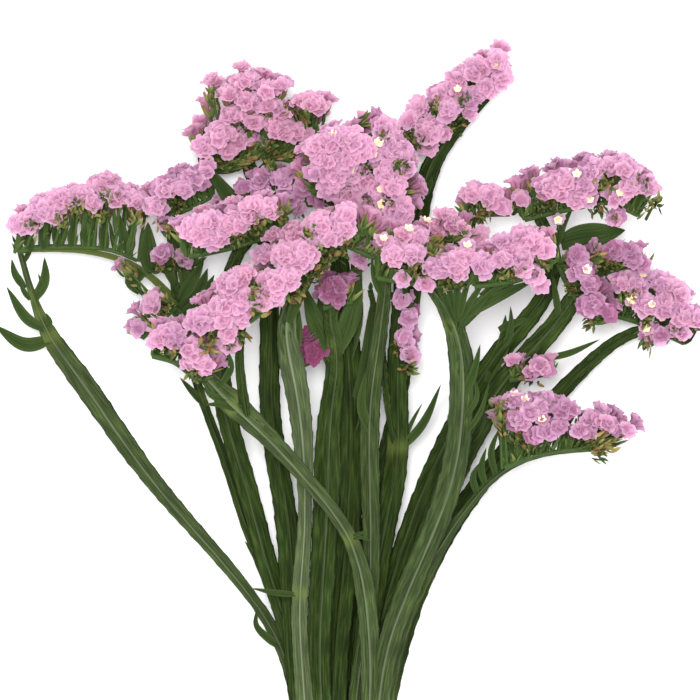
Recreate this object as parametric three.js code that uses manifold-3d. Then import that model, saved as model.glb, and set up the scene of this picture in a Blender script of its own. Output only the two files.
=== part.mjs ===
// A bunch of statice, Limonium sinuatum, with pink flowers on winged stems.
// It lies on a flat surface. Lengths are in millimetres and +Z is up.
// The stems run along +Y, from their cut ends to the flowers.
// The origin lies on the surface, under the middle of the bunch.
import * as THREE from "three";
import { mergeVertices } from "three/addons/utils/BufferGeometryUtils.js";
import Module from "manifold-3d";

const wasm = await Module();
wasm.setup();

// Driving dimensions
const CUT_END_Y = -297; // where the stems are cut
const TIE_Y = -188; // middle of the band round the stems
const STEM_DEPTH = 6.4; // thickness of a winged stem, low down
const STEM_DEPTH_TOP = 4.4; // and where its flowers begin
const CLEARANCE = 0.3; // between two pieces that touch
const COLUMN_X = [-21, -9, 3, 15]; // the four columns of stems in the tie
const ROWS = 4; // of stems in the tie, one above the other
const ROW_PITCH = 7;
const TIE_THICKNESS = 1.6;
const TIE_WIDTH = 14; // along the stems
const TIE_SLACK = 0.4; // between the band and the stems
const TIE_CORNER = 4; // radius of the band's inner corners
const WIDEST_STEM = 11;
const LOWEST_ROW_Z = TIE_THICKNESS + TIE_SLACK + STEM_DEPTH / 2;
const LUMP_LENGTH = 22; // one group of flowers along its cluster
const LUMP_SHARE = 0.09; // how far a group stands out, as a share of the cluster's size
const LEAF_HALF_DEPTH = 0.7;
const BRANCH_DEPTH_SHARE = 0.8; // thickness of a side branch, as a share of its width
const STEM_STEPS = 18; // sections along a stem
const BRANCH_STEPS = 8; // and along a branch or a leaf
const SMALLEST_DETAIL = 0.03; // what is left out where two pieces cut each other
const WELD = 1e-3; // corners closer together than this are one
const CUT_END_SPREAD = 1.3; // how much wider the bunch is at the cut ends than in the tie

const GREEN = new THREE.MeshStandardMaterial({ color: 0x3f5a2b, roughness: 0.6 });
const LEAF_GREEN = new THREE.MeshStandardMaterial({ color: 0x4a6a2c, roughness: 0.6 });
const PINK = new THREE.MeshStandardMaterial({ color: 0xe09cc4, roughness: 0.85 });
const STRAW = new THREE.MeshStandardMaterial({ color: 0xc2a468, roughness: 0.9 });

// One entry per stem: its place in the tie, its widths from the cut end up, and its route above.
const STEMS = {
  stem_far_left: {
    column: 0, row: 0, widths: [8, 8, 8, 8, 8, 7.5, 7.5, 7, 6.5, 7.5, 8.5, 10, 11.5, 12.5, 12, 5, 3.5],
    route: [
      [-28, -128, 5], [-40, -70, 5], [-62, -35, 6], [-122, 35, 10], [-169, 102, 14],
      [-183, 119, 16], [-192, 142, 18], [-201, 175, 20],
    ],
  },
  stem_left_thin: {
    column: 0, row: 1, widths: [7, 6.5, 6, 5, 4.5],
    route: [
      [-32, -92, 12], [-42, -50, 12], [-63, 4, 14], [-77, 49, 18], [-90, 82, 24], [-101, 124, 28],
      [-107, 154, 31], [-109, 181, 35], [-103, 202, 36],
    ],
  },
  stem_left_wide: {
    column: 1, row: 1, widths: [9, 10, 11, 11, 6],
    route: [
      [-27, -92, 16], [-53, -8, 23], [-60, 22, 28], [-77, 83, 50], [-77, 118, 62], [-73, 154, 76],
      [-67, 175, 88], [-49, 187, 92],
    ],
  },
  stem_left_inner: {
    column: 0, row: 2, widths: [10, 12, 13, 11, 7],
    route: [
      [-32, -86, 23], [-36, -14, 28], [-41, 28, 28], [-48, 64, 27], [-49, 154, 25], [-53, 193, 24],
      [-61, 226, 24], [-75, 250, 24],
    ],
  },
  stem_front_diagonal: {
    column: 2, row: 3, widths: [9, 9, 10, 10, 10, 10.5, 11, 11, 8, 8, 10, 14, 6],
    route: [
      [13, -94, 34], [3, -5, 56], [-19, 26, 67], [-53, 64, 84], [-83, 92, 98], [-95, 107, 102],
    ],
  },
  stem_front_pale: {
    column: 0, row: 3, widths: [10, 10, 11, 11, 11, 9, 9, 7.5, 11.5, 14, 7, 4],
    route: [
      [-28, -94, 34], [-31, -35, 42], [-28, -14, 44], [-27, 22, 46], [-28, 58, 52], [-35, 106, 66],
      [-40, 124, 78], [-35, 142, 90], [-23, 161, 97], [-8, 176, 97],
    ],
  },
  stem_centre_front: {
    column: 1, row: 3, widths: [10, 12, 13, 15, 6],
    route: [
      [-19, -92, 30], [-14, 22, 36], [-13, 70, 42], [-7, 116, 50], [-17, 134, 57], [-12, 148, 60],
    ],
  },
  stem_centre_back: {
    column: 1, row: 2, widths: [10, 12, 14, 15, 7],
    route: [[-9, -92, 20], [0, 22, 27], [0, 100, 35], [-11, 202, 58], [-13, 223, 60]],
  },
  stem_centre_right: {
    column: 2, row: 2, widths: [8, 9, 9, 11, 5],
    route: [
      [4, -92, 22], [10, -62, 25], [13, -20, 30], [12, 82, 42], [17, 112, 50], [20, 142, 60],
      [23, 160, 70], [20, 174, 80], [10, 182, 84],
    ],
  },
  stem_right_inner: {
    column: 2, row: 1, widths: [9, 11, 14, 12, 6],
    route: [[7, -86, 14], [18, -8, 20], [29, 46, 26], [28, 94, 36], [32, 184, 54], [25, 214, 56]],
  },
  stem_right_front: {
    column: 3, row: 3, widths: [9, 10, 11, 12, 12.5, 13, 14, 14, 4],
    route: [
      [18, -94, 34], [24, -62, 41], [60, 28, 60], [65, 52, 66], [67, 112, 78], [61, 131, 83],
      [53, 146, 88], [41, 156, 90],
    ],
  },
  stem_right_low: {
    column: 3, row: 2, widths: [8, 8, 10, 9, 4],
    route: [
      [23, -86, 26], [34, -47, 35], [44, -25, 39], [72, 19, 47], [94, 42, 52], [117, 50, 54],
      [154, 52, 51],
    ],
  },
  stem_right_tall: {
    column: 2, row: 0, widths: [8, 9, 10, 11, 12, 12, 12, 12, 11.5, 9.5, 6],
    route: [
      [15, -74, 7], [33, -8, 13], [54, 46, 19], [93, 115, 34], [114, 136, 39], [126, 164, 45],
      [121, 181, 50], [110, 198, 54],
    ],
  },
  stem_right_thick: {
    column: 3, row: 1, widths: [9, 11, 14, 15, 9],
    route: [
      [23, -86, 14], [37, -32, 19], [54, 16, 25], [72, 58, 31], [99, 100, 38], [117, 118, 42],
      [134, 140, 46], [143, 156, 48], [150, 164, 46],
    ],
  },
  stem_far_right: {
    column: 3, row: 0, widths: [8, 9, 11, 11, 5],
    route: [
      [21, -110, 5], [42, -32, 7], [72, 22, 12], [102, 58, 16], [157, 115, 22], [177, 127, 24],
      [199, 124, 22],
    ],
  },
  stem_top_right: {
    column: 1, row: 0, widths: [8, 9, 9, 9, 9, 9, 7, 11, 4],
    route: [
      [-3, -92, 6], [1, -50, 7], [15, 22, 9], [30, 82, 12], [39, 142, 16], [43, 199, 19],
      [47, 223, 20], [92, 275, 20],
    ],
  },
};

// One entry per side branch: its width low and high, and its route from inside its stem.
const BRANCHES = {
  branch_left_arch: {
    widths: [4.5, 2.6],
    route: [
      [-104, 139, 30], [-115, 153, 29], [-129, 164, 27], [-147, 170, 25], [-168, 173, 24],
      [-193, 172, 23],
    ],
  },
  branch_left_low: {
    widths: [4, 2.6],
    route: [[-96, 106, 26], [-109, 119, 29], [-121, 131, 31]],
  },
  branch_upper_left: {
    widths: [5, 3],
    route: [[-58, 215, 24], [-44, 233, 27], [-23, 248, 28]],
  },
  branch_front_left: {
    widths: [6, 4],
    route: [[-62, 72, 89], [-66, 98, 98], [-67, 121, 104], [-61, 139, 106]],
  },
  branch_front_right: {
    widths: [6, 3],
    route: [[64, 124, 81], [72, 140, 86], [90, 149, 90], [114, 162, 86]],
  },
  branch_behind_right: {
    widths: [4.5, 3],
    route: [[67, 110, 77], [68, 133, 70], [60, 163, 62], [61, 179, 59], [82, 197, 53]],
  },
  branch_far_right: {
    widths: [4, 2.6],
    route: [[142, 154, 48], [154, 161, 42], [174, 164, 39]],
  },
  branch_centre_thin: {
    widths: [4.5, 3],
    route: [[29, 52, 27], [23, 70, 32], [19, 121, 40], [12, 148, 43]],
  },
};

// One entry per cluster of flowers: its centre line, with its half height and half depth.
const FLOWERS = {
  flowers_left_arch: {
    height: 20, depth: 24,
    route: [[-200, 186, 24], [-173, 194, 24], [-147, 198, 24], [-120, 197, 26]],
  },
  flowers_left_top: {
    height: 17, depth: 20,
    route: [[-120, 203, 36], [-104, 208, 36], [-88, 216, 34]],
  },
  flowers_left_small: {
    height: 9, depth: 12,
    route: [[-119, 168, 31], [-107, 168, 32], [-94, 169, 31]],
  },
  flowers_left_low: {
    height: 12, depth: 14,
    route: [[-133, 125, 30], [-121, 135, 32], [-110, 145, 33]],
  },
  flowers_front_upper: {
    height: 19, depth: 20,
    route: [[-102, 181, 92], [-72, 187, 95], [-37, 198, 95]],
  },
  flowers_front_middle: {
    height: 18, depth: 20,
    route: [[-60, 146, 99], [-30, 168, 102], [0, 191, 99]],
  },
  flowers_front_diagonal: {
    height: 20, depth: 20,
    route: [[-88, 131, 107], [-68, 141, 110], [-52, 154, 108]],
  },
  flowers_front_low: {
    height: 18, depth: 18,
    route: [[-116, 122, 103], [-98, 116, 105], [-80, 101, 103]],
  },
  flowers_upper_left: {
    height: 21, depth: 26,
    route: [[-88, 239, 24], [-73, 257, 25], [-53, 266, 25], [-34, 270, 25]],
  },
  flowers_upper_middle: {
    height: 15, depth: 20,
    route: [[-53, 244, 30], [-32, 252, 30], [-11, 262, 29]],
  },
  flowers_inner_left: {
    height: 16, depth: 18,
    route: [[-67, 206, 38], [-36, 211, 40], [-7, 210, 41]],
  },
  flowers_top_left: {
    height: 20, depth: 25,
    route: [[-29, 212, 66], [-12, 229, 68], [6, 241, 66]],
  },
  flowers_top_right: {
    height: 20, depth: 24,
    route: [[8, 250, 56], [23, 226, 58], [36, 193, 58]],
  },
  flowers_top_low: {
    height: 17, depth: 18,
    route: [[-10, 194, 88], [11, 182, 90], [36, 173, 87]],
  },
  flowers_top_spike: {
    height: 15, depth: 22,
    route: [[32, 240, 21], [60, 260, 21], [79, 277, 21], [98, 295, 20]],
  },
  flowers_right_small: {
    height: 12, depth: 14,
    route: [[64, 200, 51], [80, 202, 52], [98, 202, 51]],
  },
  flowers_right_behind: {
    height: 12, depth: 14,
    route: [[41, 185, 60], [58, 186, 61], [74, 186, 60]],
  },
  flowers_band_left: {
    height: 17, depth: 19,
    route: [[16, 168, 91], [45, 163, 95], [70, 162, 95]],
  },
  flowers_band_right: {
    height: 17, depth: 18,
    route: [[70, 162, 95], [96, 166, 93], [121, 178, 88]],
  },
  flowers_hanging: {
    height: 9, depth: 14,
    route: [[33, 149, 44], [34, 127, 40], [35, 103, 36]],
  },
  flowers_centre: {
    height: 13, depth: 14,
    route: [[-20, 146, 60], [-9, 149, 61], [2, 150, 60]],
  },
  flowers_centre_low: {
    height: 12, depth: 14,
    route: [[-36, 109, 40], [-25, 114, 41], [-13, 120, 42]],
  },
  flowers_right_top: {
    height: 20, depth: 22,
    route: [[97, 204, 57], [129, 211, 58], [157, 215, 57], [184, 204, 54]],
  },
  flowers_right_middle: {
    height: 14, depth: 18,
    route: [[134, 170, 50], [143, 151, 50], [158, 133, 47]],
  },
  flowers_right_inner: {
    height: 10, depth: 14,
    route: [[145, 167, 40], [162, 169, 40], [181, 169, 38]],
  },
  flowers_far_right: {
    height: 21, depth: 24,
    route: [[154, 151, 22], [183, 142, 22], [212, 128, 20]],
  },
  flowers_low_right: {
    height: 19, depth: 20,
    route: [[89, 73, 55], [117, 70, 57], [139, 72, 55]],
  },
  flowers_low_far: {
    height: 15, depth: 16,
    route: [[134, 62, 53], [156, 64, 52], [175, 62, 50]],
  },
  flowers_low_small: {
    height: 9, depth: 11,
    route: [[94, 100, 40], [108, 102, 42], [122, 104, 42]],
  },
};

// One entry per large leaf: its greatest width, and its route from inside the stem that carries it.
const LEAVES = {
  leaf_far_left_long: {
    width: 8,
    route: [[-181, 118, 16], [-197, 115, 17], [-216, 127, 20]],
  },
  leaf_far_left_short: {
    width: 6,
    route: [[-185, 124, 17], [-196, 131, 21], [-208, 150, 26]],
  },
  leaf_curled: {
    width: 4.5,
    route: [[-37, -71, 6], [-49, -64, 8], [-57, -55, 11], [-56, -44, 14]],
  },
  leaf_right_large: {
    width: 15,
    route: [[127, 176, 46], [144, 180, 45], [166, 184, 40]],
  },
  leaf_centre_broad: {
    width: 10,
    route: [[-7, 110, 49], [1, 136, 53], [7, 163, 54]],
  },
  leaf_right_curved: {
    width: 5,
    route: [[29, 50, 27], [44, 67, 32], [55, 91, 36]],
  },
};

const curveThrough = (points) => new THREE.CatmullRomCurve3(points.map((p) => new THREE.Vector3(...p)));

// The value at t of a row of values spread evenly from 0 to 1.
function between(values, t) {
  const step = Math.min(Math.floor(t * (values.length - 1)), values.length - 2);
  return THREE.MathUtils.lerp(values[step], values[step + 1], t * (values.length - 1) - step);
}

// Bends a straight body, which runs along Z from 0 to 1, so that it follows the curve.
// place gives a point's distance sideways and upwards from the curve.
function bend(straight, curve, place) {
  const points = straight.getAttribute("position");
  const upright = new THREE.Vector3(0, 0, 1);
  for (let i = 0; i < points.count; i += 1) {
    const t = THREE.MathUtils.clamp(points.getZ(i), 0, 1);
    const along = curve.getTangentAt(t);
    const side = new THREE.Vector3().crossVectors(upright, along).normalize();
    const up = new THREE.Vector3().crossVectors(along, side);
    const [sideways, upwards] = place(points.getX(i), points.getY(i), t);
    const point = curve.getPointAt(t).addScaledVector(side, sideways).addScaledVector(up, upwards);
    points.setXYZ(i, point.x, point.y, point.z);
  }
  return straight;
}

// A closed surface as a solid that can be cut.
function solidFrom(geometry) {
  const bare = new THREE.BufferGeometry().setAttribute("position", geometry.getAttribute("position"));
  bare.setIndex(geometry.index);
  const merged = mergeVertices(bare, WELD);
  return new wasm.Manifold(
    new wasm.Mesh({
      numProp: 3,
      vertProperties: merged.getAttribute("position").array,
      triVerts: new Uint32Array(merged.index.array),
    }),
  );
}

function geometryFrom(solid) {
  const { vertProperties, triVerts } = solid.getMesh();
  const geometry = new THREE.BufferGeometry();
  geometry.setAttribute("position", new THREE.BufferAttribute(vertProperties, 3));
  geometry.setIndex(new THREE.BufferAttribute(triVerts, 1));
  geometry.computeVertexNormals();
  return geometry;
}

// The section of a winged stem, with a half width and half depth of 1.
function wingedOutline() {
  const upperHalf = [[1, 0.14], [0.5, 0.66], [0, 1], [-0.5, 0.66], [-1, 0.14]];
  const lowerHalf = upperHalf.map(([x, y]) => [-x, -y]);
  return new THREE.Shape([...upperHalf, ...lowerHalf].map(([x, y]) => new THREE.Vector2(x, y)));
}

// The section of a leaf: flat, and thin at its edges.
function leafOutline() {
  return new THREE.Shape([[1, 0], [0, 1], [-1, 0], [0, -1]].map(([x, y]) => new THREE.Vector2(x, y)));
}

// A solid of one outline along a curve, made thicker all round by extra.
function sweep(outline, steps, curve, halfWidth, halfDepth, extra) {
  const straight = new THREE.ExtrudeGeometry(outline, { depth: 1, steps, bevelEnabled: false });
  const outward = (value) => (Math.abs(value) < 1e-6 ? 0 : Math.sign(value) * extra);
  const place = (x, y, t) => [x * halfWidth(t) + outward(x), y * halfDepth(t) + outward(y)];
  return solidFrom(bend(straight, curve, place));
}

// The route of a stem: its cut end, its place in the tie, and then the open route to its flowers.
function stemCurve({ column, row, route }) {
  const x = COLUMN_X[column];
  const z = LOWEST_ROW_Z + row * ROW_PITCH;
  const cutEndZ = STEM_DEPTH / 2 + row * ROW_PITCH;
  const lowest = [
    [x * CUT_END_SPREAD, CUT_END_Y, cutEndZ],
    [x, TIE_Y - TIE_WIDTH, z],
    [x, TIE_Y + TIE_WIDTH, z],
  ];
  return curveThrough([...lowest, ...route]);
}

function stem(entry, extra) {
  const halfWidth = (t) => between(entry.widths, t) / 2;
  const halfDepth = (t) => between([STEM_DEPTH, STEM_DEPTH, STEM_DEPTH_TOP], t) / 2;
  return sweep(wingedOutline(), STEM_STEPS, stemCurve(entry), halfWidth, halfDepth, extra);
}

function branch({ widths, route }, extra) {
  const halfWidth = (t) => between(widths, t) / 2;
  const halfDepth = (t) => halfWidth(t) * BRANCH_DEPTH_SHARE;
  return sweep(leafOutline(), BRANCH_STEPS, curveThrough(route), halfWidth, halfDepth, extra);
}

function leaf({ width, route }, extra) {
  const halfWidth = (t) => (width / 2) * (0.25 + 0.75 * Math.sin(Math.PI * t ** 0.8));
  return sweep(leafOutline(), BRANCH_STEPS, curveThrough(route), halfWidth, () => LEAF_HALF_DEPTH, extra);
}

// A cluster of flowers: a blunt-ended body along its centre line, with a lump for each group of flowers.
function flowers({ height, depth, route }, extra) {
  const curve = curveThrough(route);
  const lumps = Math.max(1, Math.round(curve.getLength() / LUMP_LENGTH));
  const straight = new THREE.SphereGeometry(1, 9, 8);
  straight.rotateX(Math.PI / 2).translate(0, 0, 1).scale(1, 1, 0.5);
  const lump = (t) => 1 + LUMP_SHARE * Math.cos(2 * Math.PI * lumps * t);
  const blunt = (t) => (4 * t * (1 - t) + 1e-6) ** -0.2;
  const girth = (t) => lump(t) * blunt(t);
  const place = (x, y, t) => [x * (height + extra) * girth(t), y * (depth + extra) * girth(t)];
  return solidFrom(bend(straight, curve, place));
}

// A flat band closed round the bundle of stems.
function tie() {
  const left = COLUMN_X[0] - WIDEST_STEM / 2 - TIE_SLACK;
  const right = COLUMN_X.at(-1) + WIDEST_STEM / 2 + TIE_SLACK;
  const bottom = TIE_THICKNESS;
  const top = LOWEST_ROW_Z + (ROWS - 1) * ROW_PITCH + STEM_DEPTH / 2 + TIE_SLACK;
  const loop = (grow) => {
    const radius = TIE_CORNER + grow;
    const [x0, x1, z0, z1] = [left - grow, right + grow, bottom - grow, top + grow];
    const shape = new THREE.Shape();
    shape.absarc(x1 - radius, z1 - radius, radius, 0, Math.PI / 2);
    shape.absarc(x0 + radius, z1 - radius, radius, Math.PI / 2, Math.PI);
    shape.absarc(x0 + radius, z0 + radius, radius, Math.PI, 1.5 * Math.PI);
    shape.absarc(x1 - radius, z0 + radius, radius, 1.5 * Math.PI, 2 * Math.PI);
    return shape;
  };
  const band = loop(TIE_THICKNESS);
  band.holes.push(loop(0));
  const settings = { depth: TIE_WIDTH, bevelEnabled: false, curveSegments: 4 };
  const geometry = new THREE.ExtrudeGeometry(band, settings);
  geometry.rotateX(Math.PI / 2).translate(0, TIE_Y + TIE_WIDTH / 2, 0);
  return solidFrom(geometry);
}

function boxesMeet(a, b) {
  return [0, 1, 2].every((axis) => a.min[axis] < b.max[axis] && b.min[axis] < a.max[axis]);
}

const bunch = new THREE.Group();
const placed = [];

// Adds one piece, cut back from the surface below it and from each earlier piece that it would touch.
function add(name, material, make) {
  let solid = make(0).trimByPlane([0, 0, 1], 0);
  const neighbours = placed.filter(({ grown }) => boxesMeet(grown.boundingBox(), solid.boundingBox()));
  for (const { grown } of neighbours) solid = solid.subtract(grown);
  const [largest] = solid.simplify(SMALLEST_DETAIL).decompose().sort((a, b) => b.volume() - a.volume());
  placed.push({ grown: make(CLEARANCE) });
  const mesh = new THREE.Mesh(geometryFrom(largest), material);
  mesh.name = name;
  bunch.add(mesh);
}

// Adds every entry of a table, each made by the same function.
function addAll(table, material, make) {
  for (const [name, entry] of Object.entries(table)) add(name, material, (extra) => make(entry, extra));
}

addAll(STEMS, GREEN, stem);
add("tie_band", STRAW, tie);
addAll(BRANCHES, GREEN, branch);
addAll(FLOWERS, PINK, flowers);
addAll(LEAVES, LEAF_GREEN, leaf);

export default bunch;
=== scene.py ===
"""A bunch of pink statice lying on a pale surface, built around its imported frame.

Lengths in the tables are millimetres, and every piece is made in metres in the frame's own axes:
+Z up from the surface, +Y along the stems to the flowers. The camera looks down on the bunch.
"""

import math

import bpy
import numpy as np
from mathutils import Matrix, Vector


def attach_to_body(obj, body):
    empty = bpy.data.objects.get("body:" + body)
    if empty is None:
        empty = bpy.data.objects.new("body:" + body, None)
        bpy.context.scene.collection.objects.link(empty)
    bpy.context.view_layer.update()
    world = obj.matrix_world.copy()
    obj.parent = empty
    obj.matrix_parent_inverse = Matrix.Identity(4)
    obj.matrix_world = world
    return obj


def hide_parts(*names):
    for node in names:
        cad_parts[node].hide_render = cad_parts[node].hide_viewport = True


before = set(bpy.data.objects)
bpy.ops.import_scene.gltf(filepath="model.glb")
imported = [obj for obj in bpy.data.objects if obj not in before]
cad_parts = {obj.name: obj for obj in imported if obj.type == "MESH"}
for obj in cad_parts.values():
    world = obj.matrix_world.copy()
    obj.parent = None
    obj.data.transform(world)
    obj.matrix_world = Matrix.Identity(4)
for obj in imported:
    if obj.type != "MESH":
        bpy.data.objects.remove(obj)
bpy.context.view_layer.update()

MM = 0.001
UP = np.array([0.0, 0.0, 1.0])
TOWARDS_CUT_ENDS = np.array([0.0, -1.0, 0.0])
ANY_ANGLE = 6.28  # the upper end of random angles

# The bundle: the tie holds the stems in columns and rows.
CUT_END_Y = -297
CUT_END_SPREAD = 1.3
COLUMN_X = [-21, -9, 3, 15]
ROW_PITCH = 7
HIGHEST_ROW = 3
STEM_DEPTH = 6.4
STEM_DEPTH_TOP = 4.4
WIDEST_STEM = 11

# The tie
TIE_Y = -188
TIE_WIDTH = 14
TIE_MARGIN = 1.0  # of the tie's width, left free by the turns of twine
TIE_THICKNESS = 1.6
TIE_SLACK = 0.4
TIE_TURNS = 8
TIE_CORNER = 4  # the radius of the bundle's corners
TWINE_STEPS = 1400
TWINE_SIDES = 10
TWINE_LAY = 3.2  # the length of one twist of its two plies
LOWEST_ROW_Z = TIE_THICKNESS + TIE_SLACK + STEM_DEPTH / 2

# Stems and leaves
STEPS_PER_MM = 0.42  # rings of corners along a stem
CALM_REACH = 13  # along a stem, over which its route is evened out
JOINT_REACH = 4.5  # of the paler green round a joint
WING_SPREAD = 1.08  # the wings of a stem, against its soft solid
SCALLOP = 0.05  # how much a wing's slow waves and its teeth widen it, as shares
NOTCH = 0.17
RUFFLE = 0.1  # how far a wing waves up and down, as a share of its half width
ROLL = 0.16  # radians that a stem turns either way along its length
LEAF_FOLD = 0.16  # how far the edges of a leaf rise, as a share of its width
LEAF_WAVE = 0.08
SPROUTING = 75  # the last part of a stem, with small pointed leaves left and right
SPROUT_PITCH = 3.2
STEM_SPROUT = 9  # the length of these leaves on a stem
BRANCH_SPROUT = 5
STEM_NUMBERS = ("edge", "length", "around", "joint", "tone")

# One side of the section of a winged stem, from wing to wing over the ridge: place across, place up,
# and how much of a ridge it is.
WINGED_SECTION = [
    (1.0, 0.05, 0.45), (0.8, 0.1, 0.15), (0.5, 0.24, 0.0), (0.28, 0.42, 0.05), (0.12, 0.6, 0.3),
    (0.05, 0.96, 0.9), (-0.05, 0.96, 0.9), (-0.12, 0.6, 0.3), (-0.28, 0.42, 0.05), (-0.5, 0.24, 0.0),
    (-0.8, 0.1, 0.15),
]

# Flowers
CALYX_RADIUS = 5.1
CALYX_LENGTH = 9.5
CALYX_NUMBERS = ("reach", "tone", "pleat", "crumple")
COROLLA_RADIUS = 2.9
OPEN_FAN_RADIUS = 3.0  # of a single flower that is open
GOLDEN_ANGLE = math.radians(137.5)

# A calyx from its base to its rim: how wide, as a share of its radius, and how high, as a share of its
# length. Those on the side of a head that faces the surface are made with fewer faces.
CALYX_PROFILE = [(0.10, 0.0), (0.34, 0.70), (0.62, 0.92), (0.86, 0.98), (1.0, 1.0)]
BACK_CALYX_PROFILE = [(0.10, 0.0), (0.32, 0.66), (0.78, 0.94), (1.0, 1.0)]
CALYX_TEETH = 12
BACK_CALYX_TEETH = 8
LARGEST_CALYX = 1.12  # as a share of the radius above
LARGEST_BACK_CALYX = 0.95
SMALLEST_CALYX = 0.73  # as a share of the largest
THROAT_RADII = (0.02, 0.45)  # the middle and the edge of a throat, as shares of the radius
THROAT_HEIGHTS = (-0.13, -0.17)  # and where they are from the rim, as shares of the length

# Heads: fans of flowers on stalks from one line
HEAD_STEPS = 80  # points along a head's centre line
STALK_LINE = 0.75  # from the centre line down to the line of the stalks, as a share of the head's height
FRONT_REACH = 0.88  # from the centre line up to the rims of the front fans, as a share of the head's depth
HEART_DEPTH = 0.35  # from the stalks down to where these fans point away from, as a share too
BACK_REACH = 0.8  # from the centre line to the rims of the other fans, as a share of the head's half sizes
COMB_PITCH = 1.1  # between the small bracts that grow from that line towards the flowers
FAN_REACH = 13.0  # from the base of a fan of flowers to its rims
SHORTEST_REACH = 6
FAN_COVER = 2.8  # flowers in a fan, for each flower's area in it
BACK_FAN_PITCH = 15.0  # between the fans on the side of a head that faces the surface
BACK_FAN_RADIUS = 8.5
LOWEST_BACK = -100  # degrees round a head's centre line, from its upper edge, where these fans begin
BACK_ARC = 112  # and how far round they reach
TUFT_SCALES = 30

# Rings of bracts under a fan: how many, how far up from the fan's base, how much they spread, and their
# shortest and longest lengths.
BRACT_RINGS = [(8, 0.0, 0.75, 7.0, 10.5), (7, 2.0, 0.5, 6.5, 9.5), (5, 4.0, 0.25, 5.0, 8.0)]
STALK_BRACTS = (0.1, 0.3, 0.5, 0.7, 0.85)  # how far up the stalk of a fan each of its longer bracts starts
STALK_LEAVES = (0.05, 0.4)  # and each of its two leaf-like bracts

# The shortest and the longest bract of each kind, the widths of some as a share of their length, and the
# radii of stalks at both ends.
COMB_BRACT = (5, 11)
STALK_BRACT = (7, 11)
TUFT_BRACT = (5, 9)
STALK_LEAF = (9, 18)
STALK_LEAF_WIDTH = (4.5, 6.5)
SLENDER = 0.26
RING_BRACT_WIDTH = 0.33
TUFT_BRACT_WIDTH = 0.34
RACHIS_RADII = (2.0, 1.1)
FAN_STALK_RADII = (1.2, 0.9)
TUFT_STALK_RADII = (1.1, 0.8)

# How near the surface the parts of a head come
LOWEST_STALK = 1.5
LOWEST_TIP = 1.0
LOWEST_BASE = 2.0
LOWEST_RIM = 5.0
FLAT_RIM = 8  # rims on the back that are lower than this face sideways

# Picture
FRAME_WIDTH = 420 * MM  # what the picture shows across, at the height of the camera's target
CAMERA_TARGET = (0.0, 111.6 * MM, 70 * MM)
CAMERA_DISTANCE = 5.0
CAMERA_REACH = 20
SENSOR_MM = 36.0
FLOOR_SIZE = 12
SKY_STRENGTH = 1.15
LIGHT_AIM = (0, 0.1, 0)
LIGHTS = {
    "key": dict(place=(-0.12, 0.4, 3.0), size=0.8, power=76),
    "fill": dict(place=(0.7, -0.4, 2.2), size=2.0, power=18),
}

# Seeds of the random draws
STEM_SEED = 11
LEAF_SEED = 13
FIRST_HEAD_SEED = 100

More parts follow.
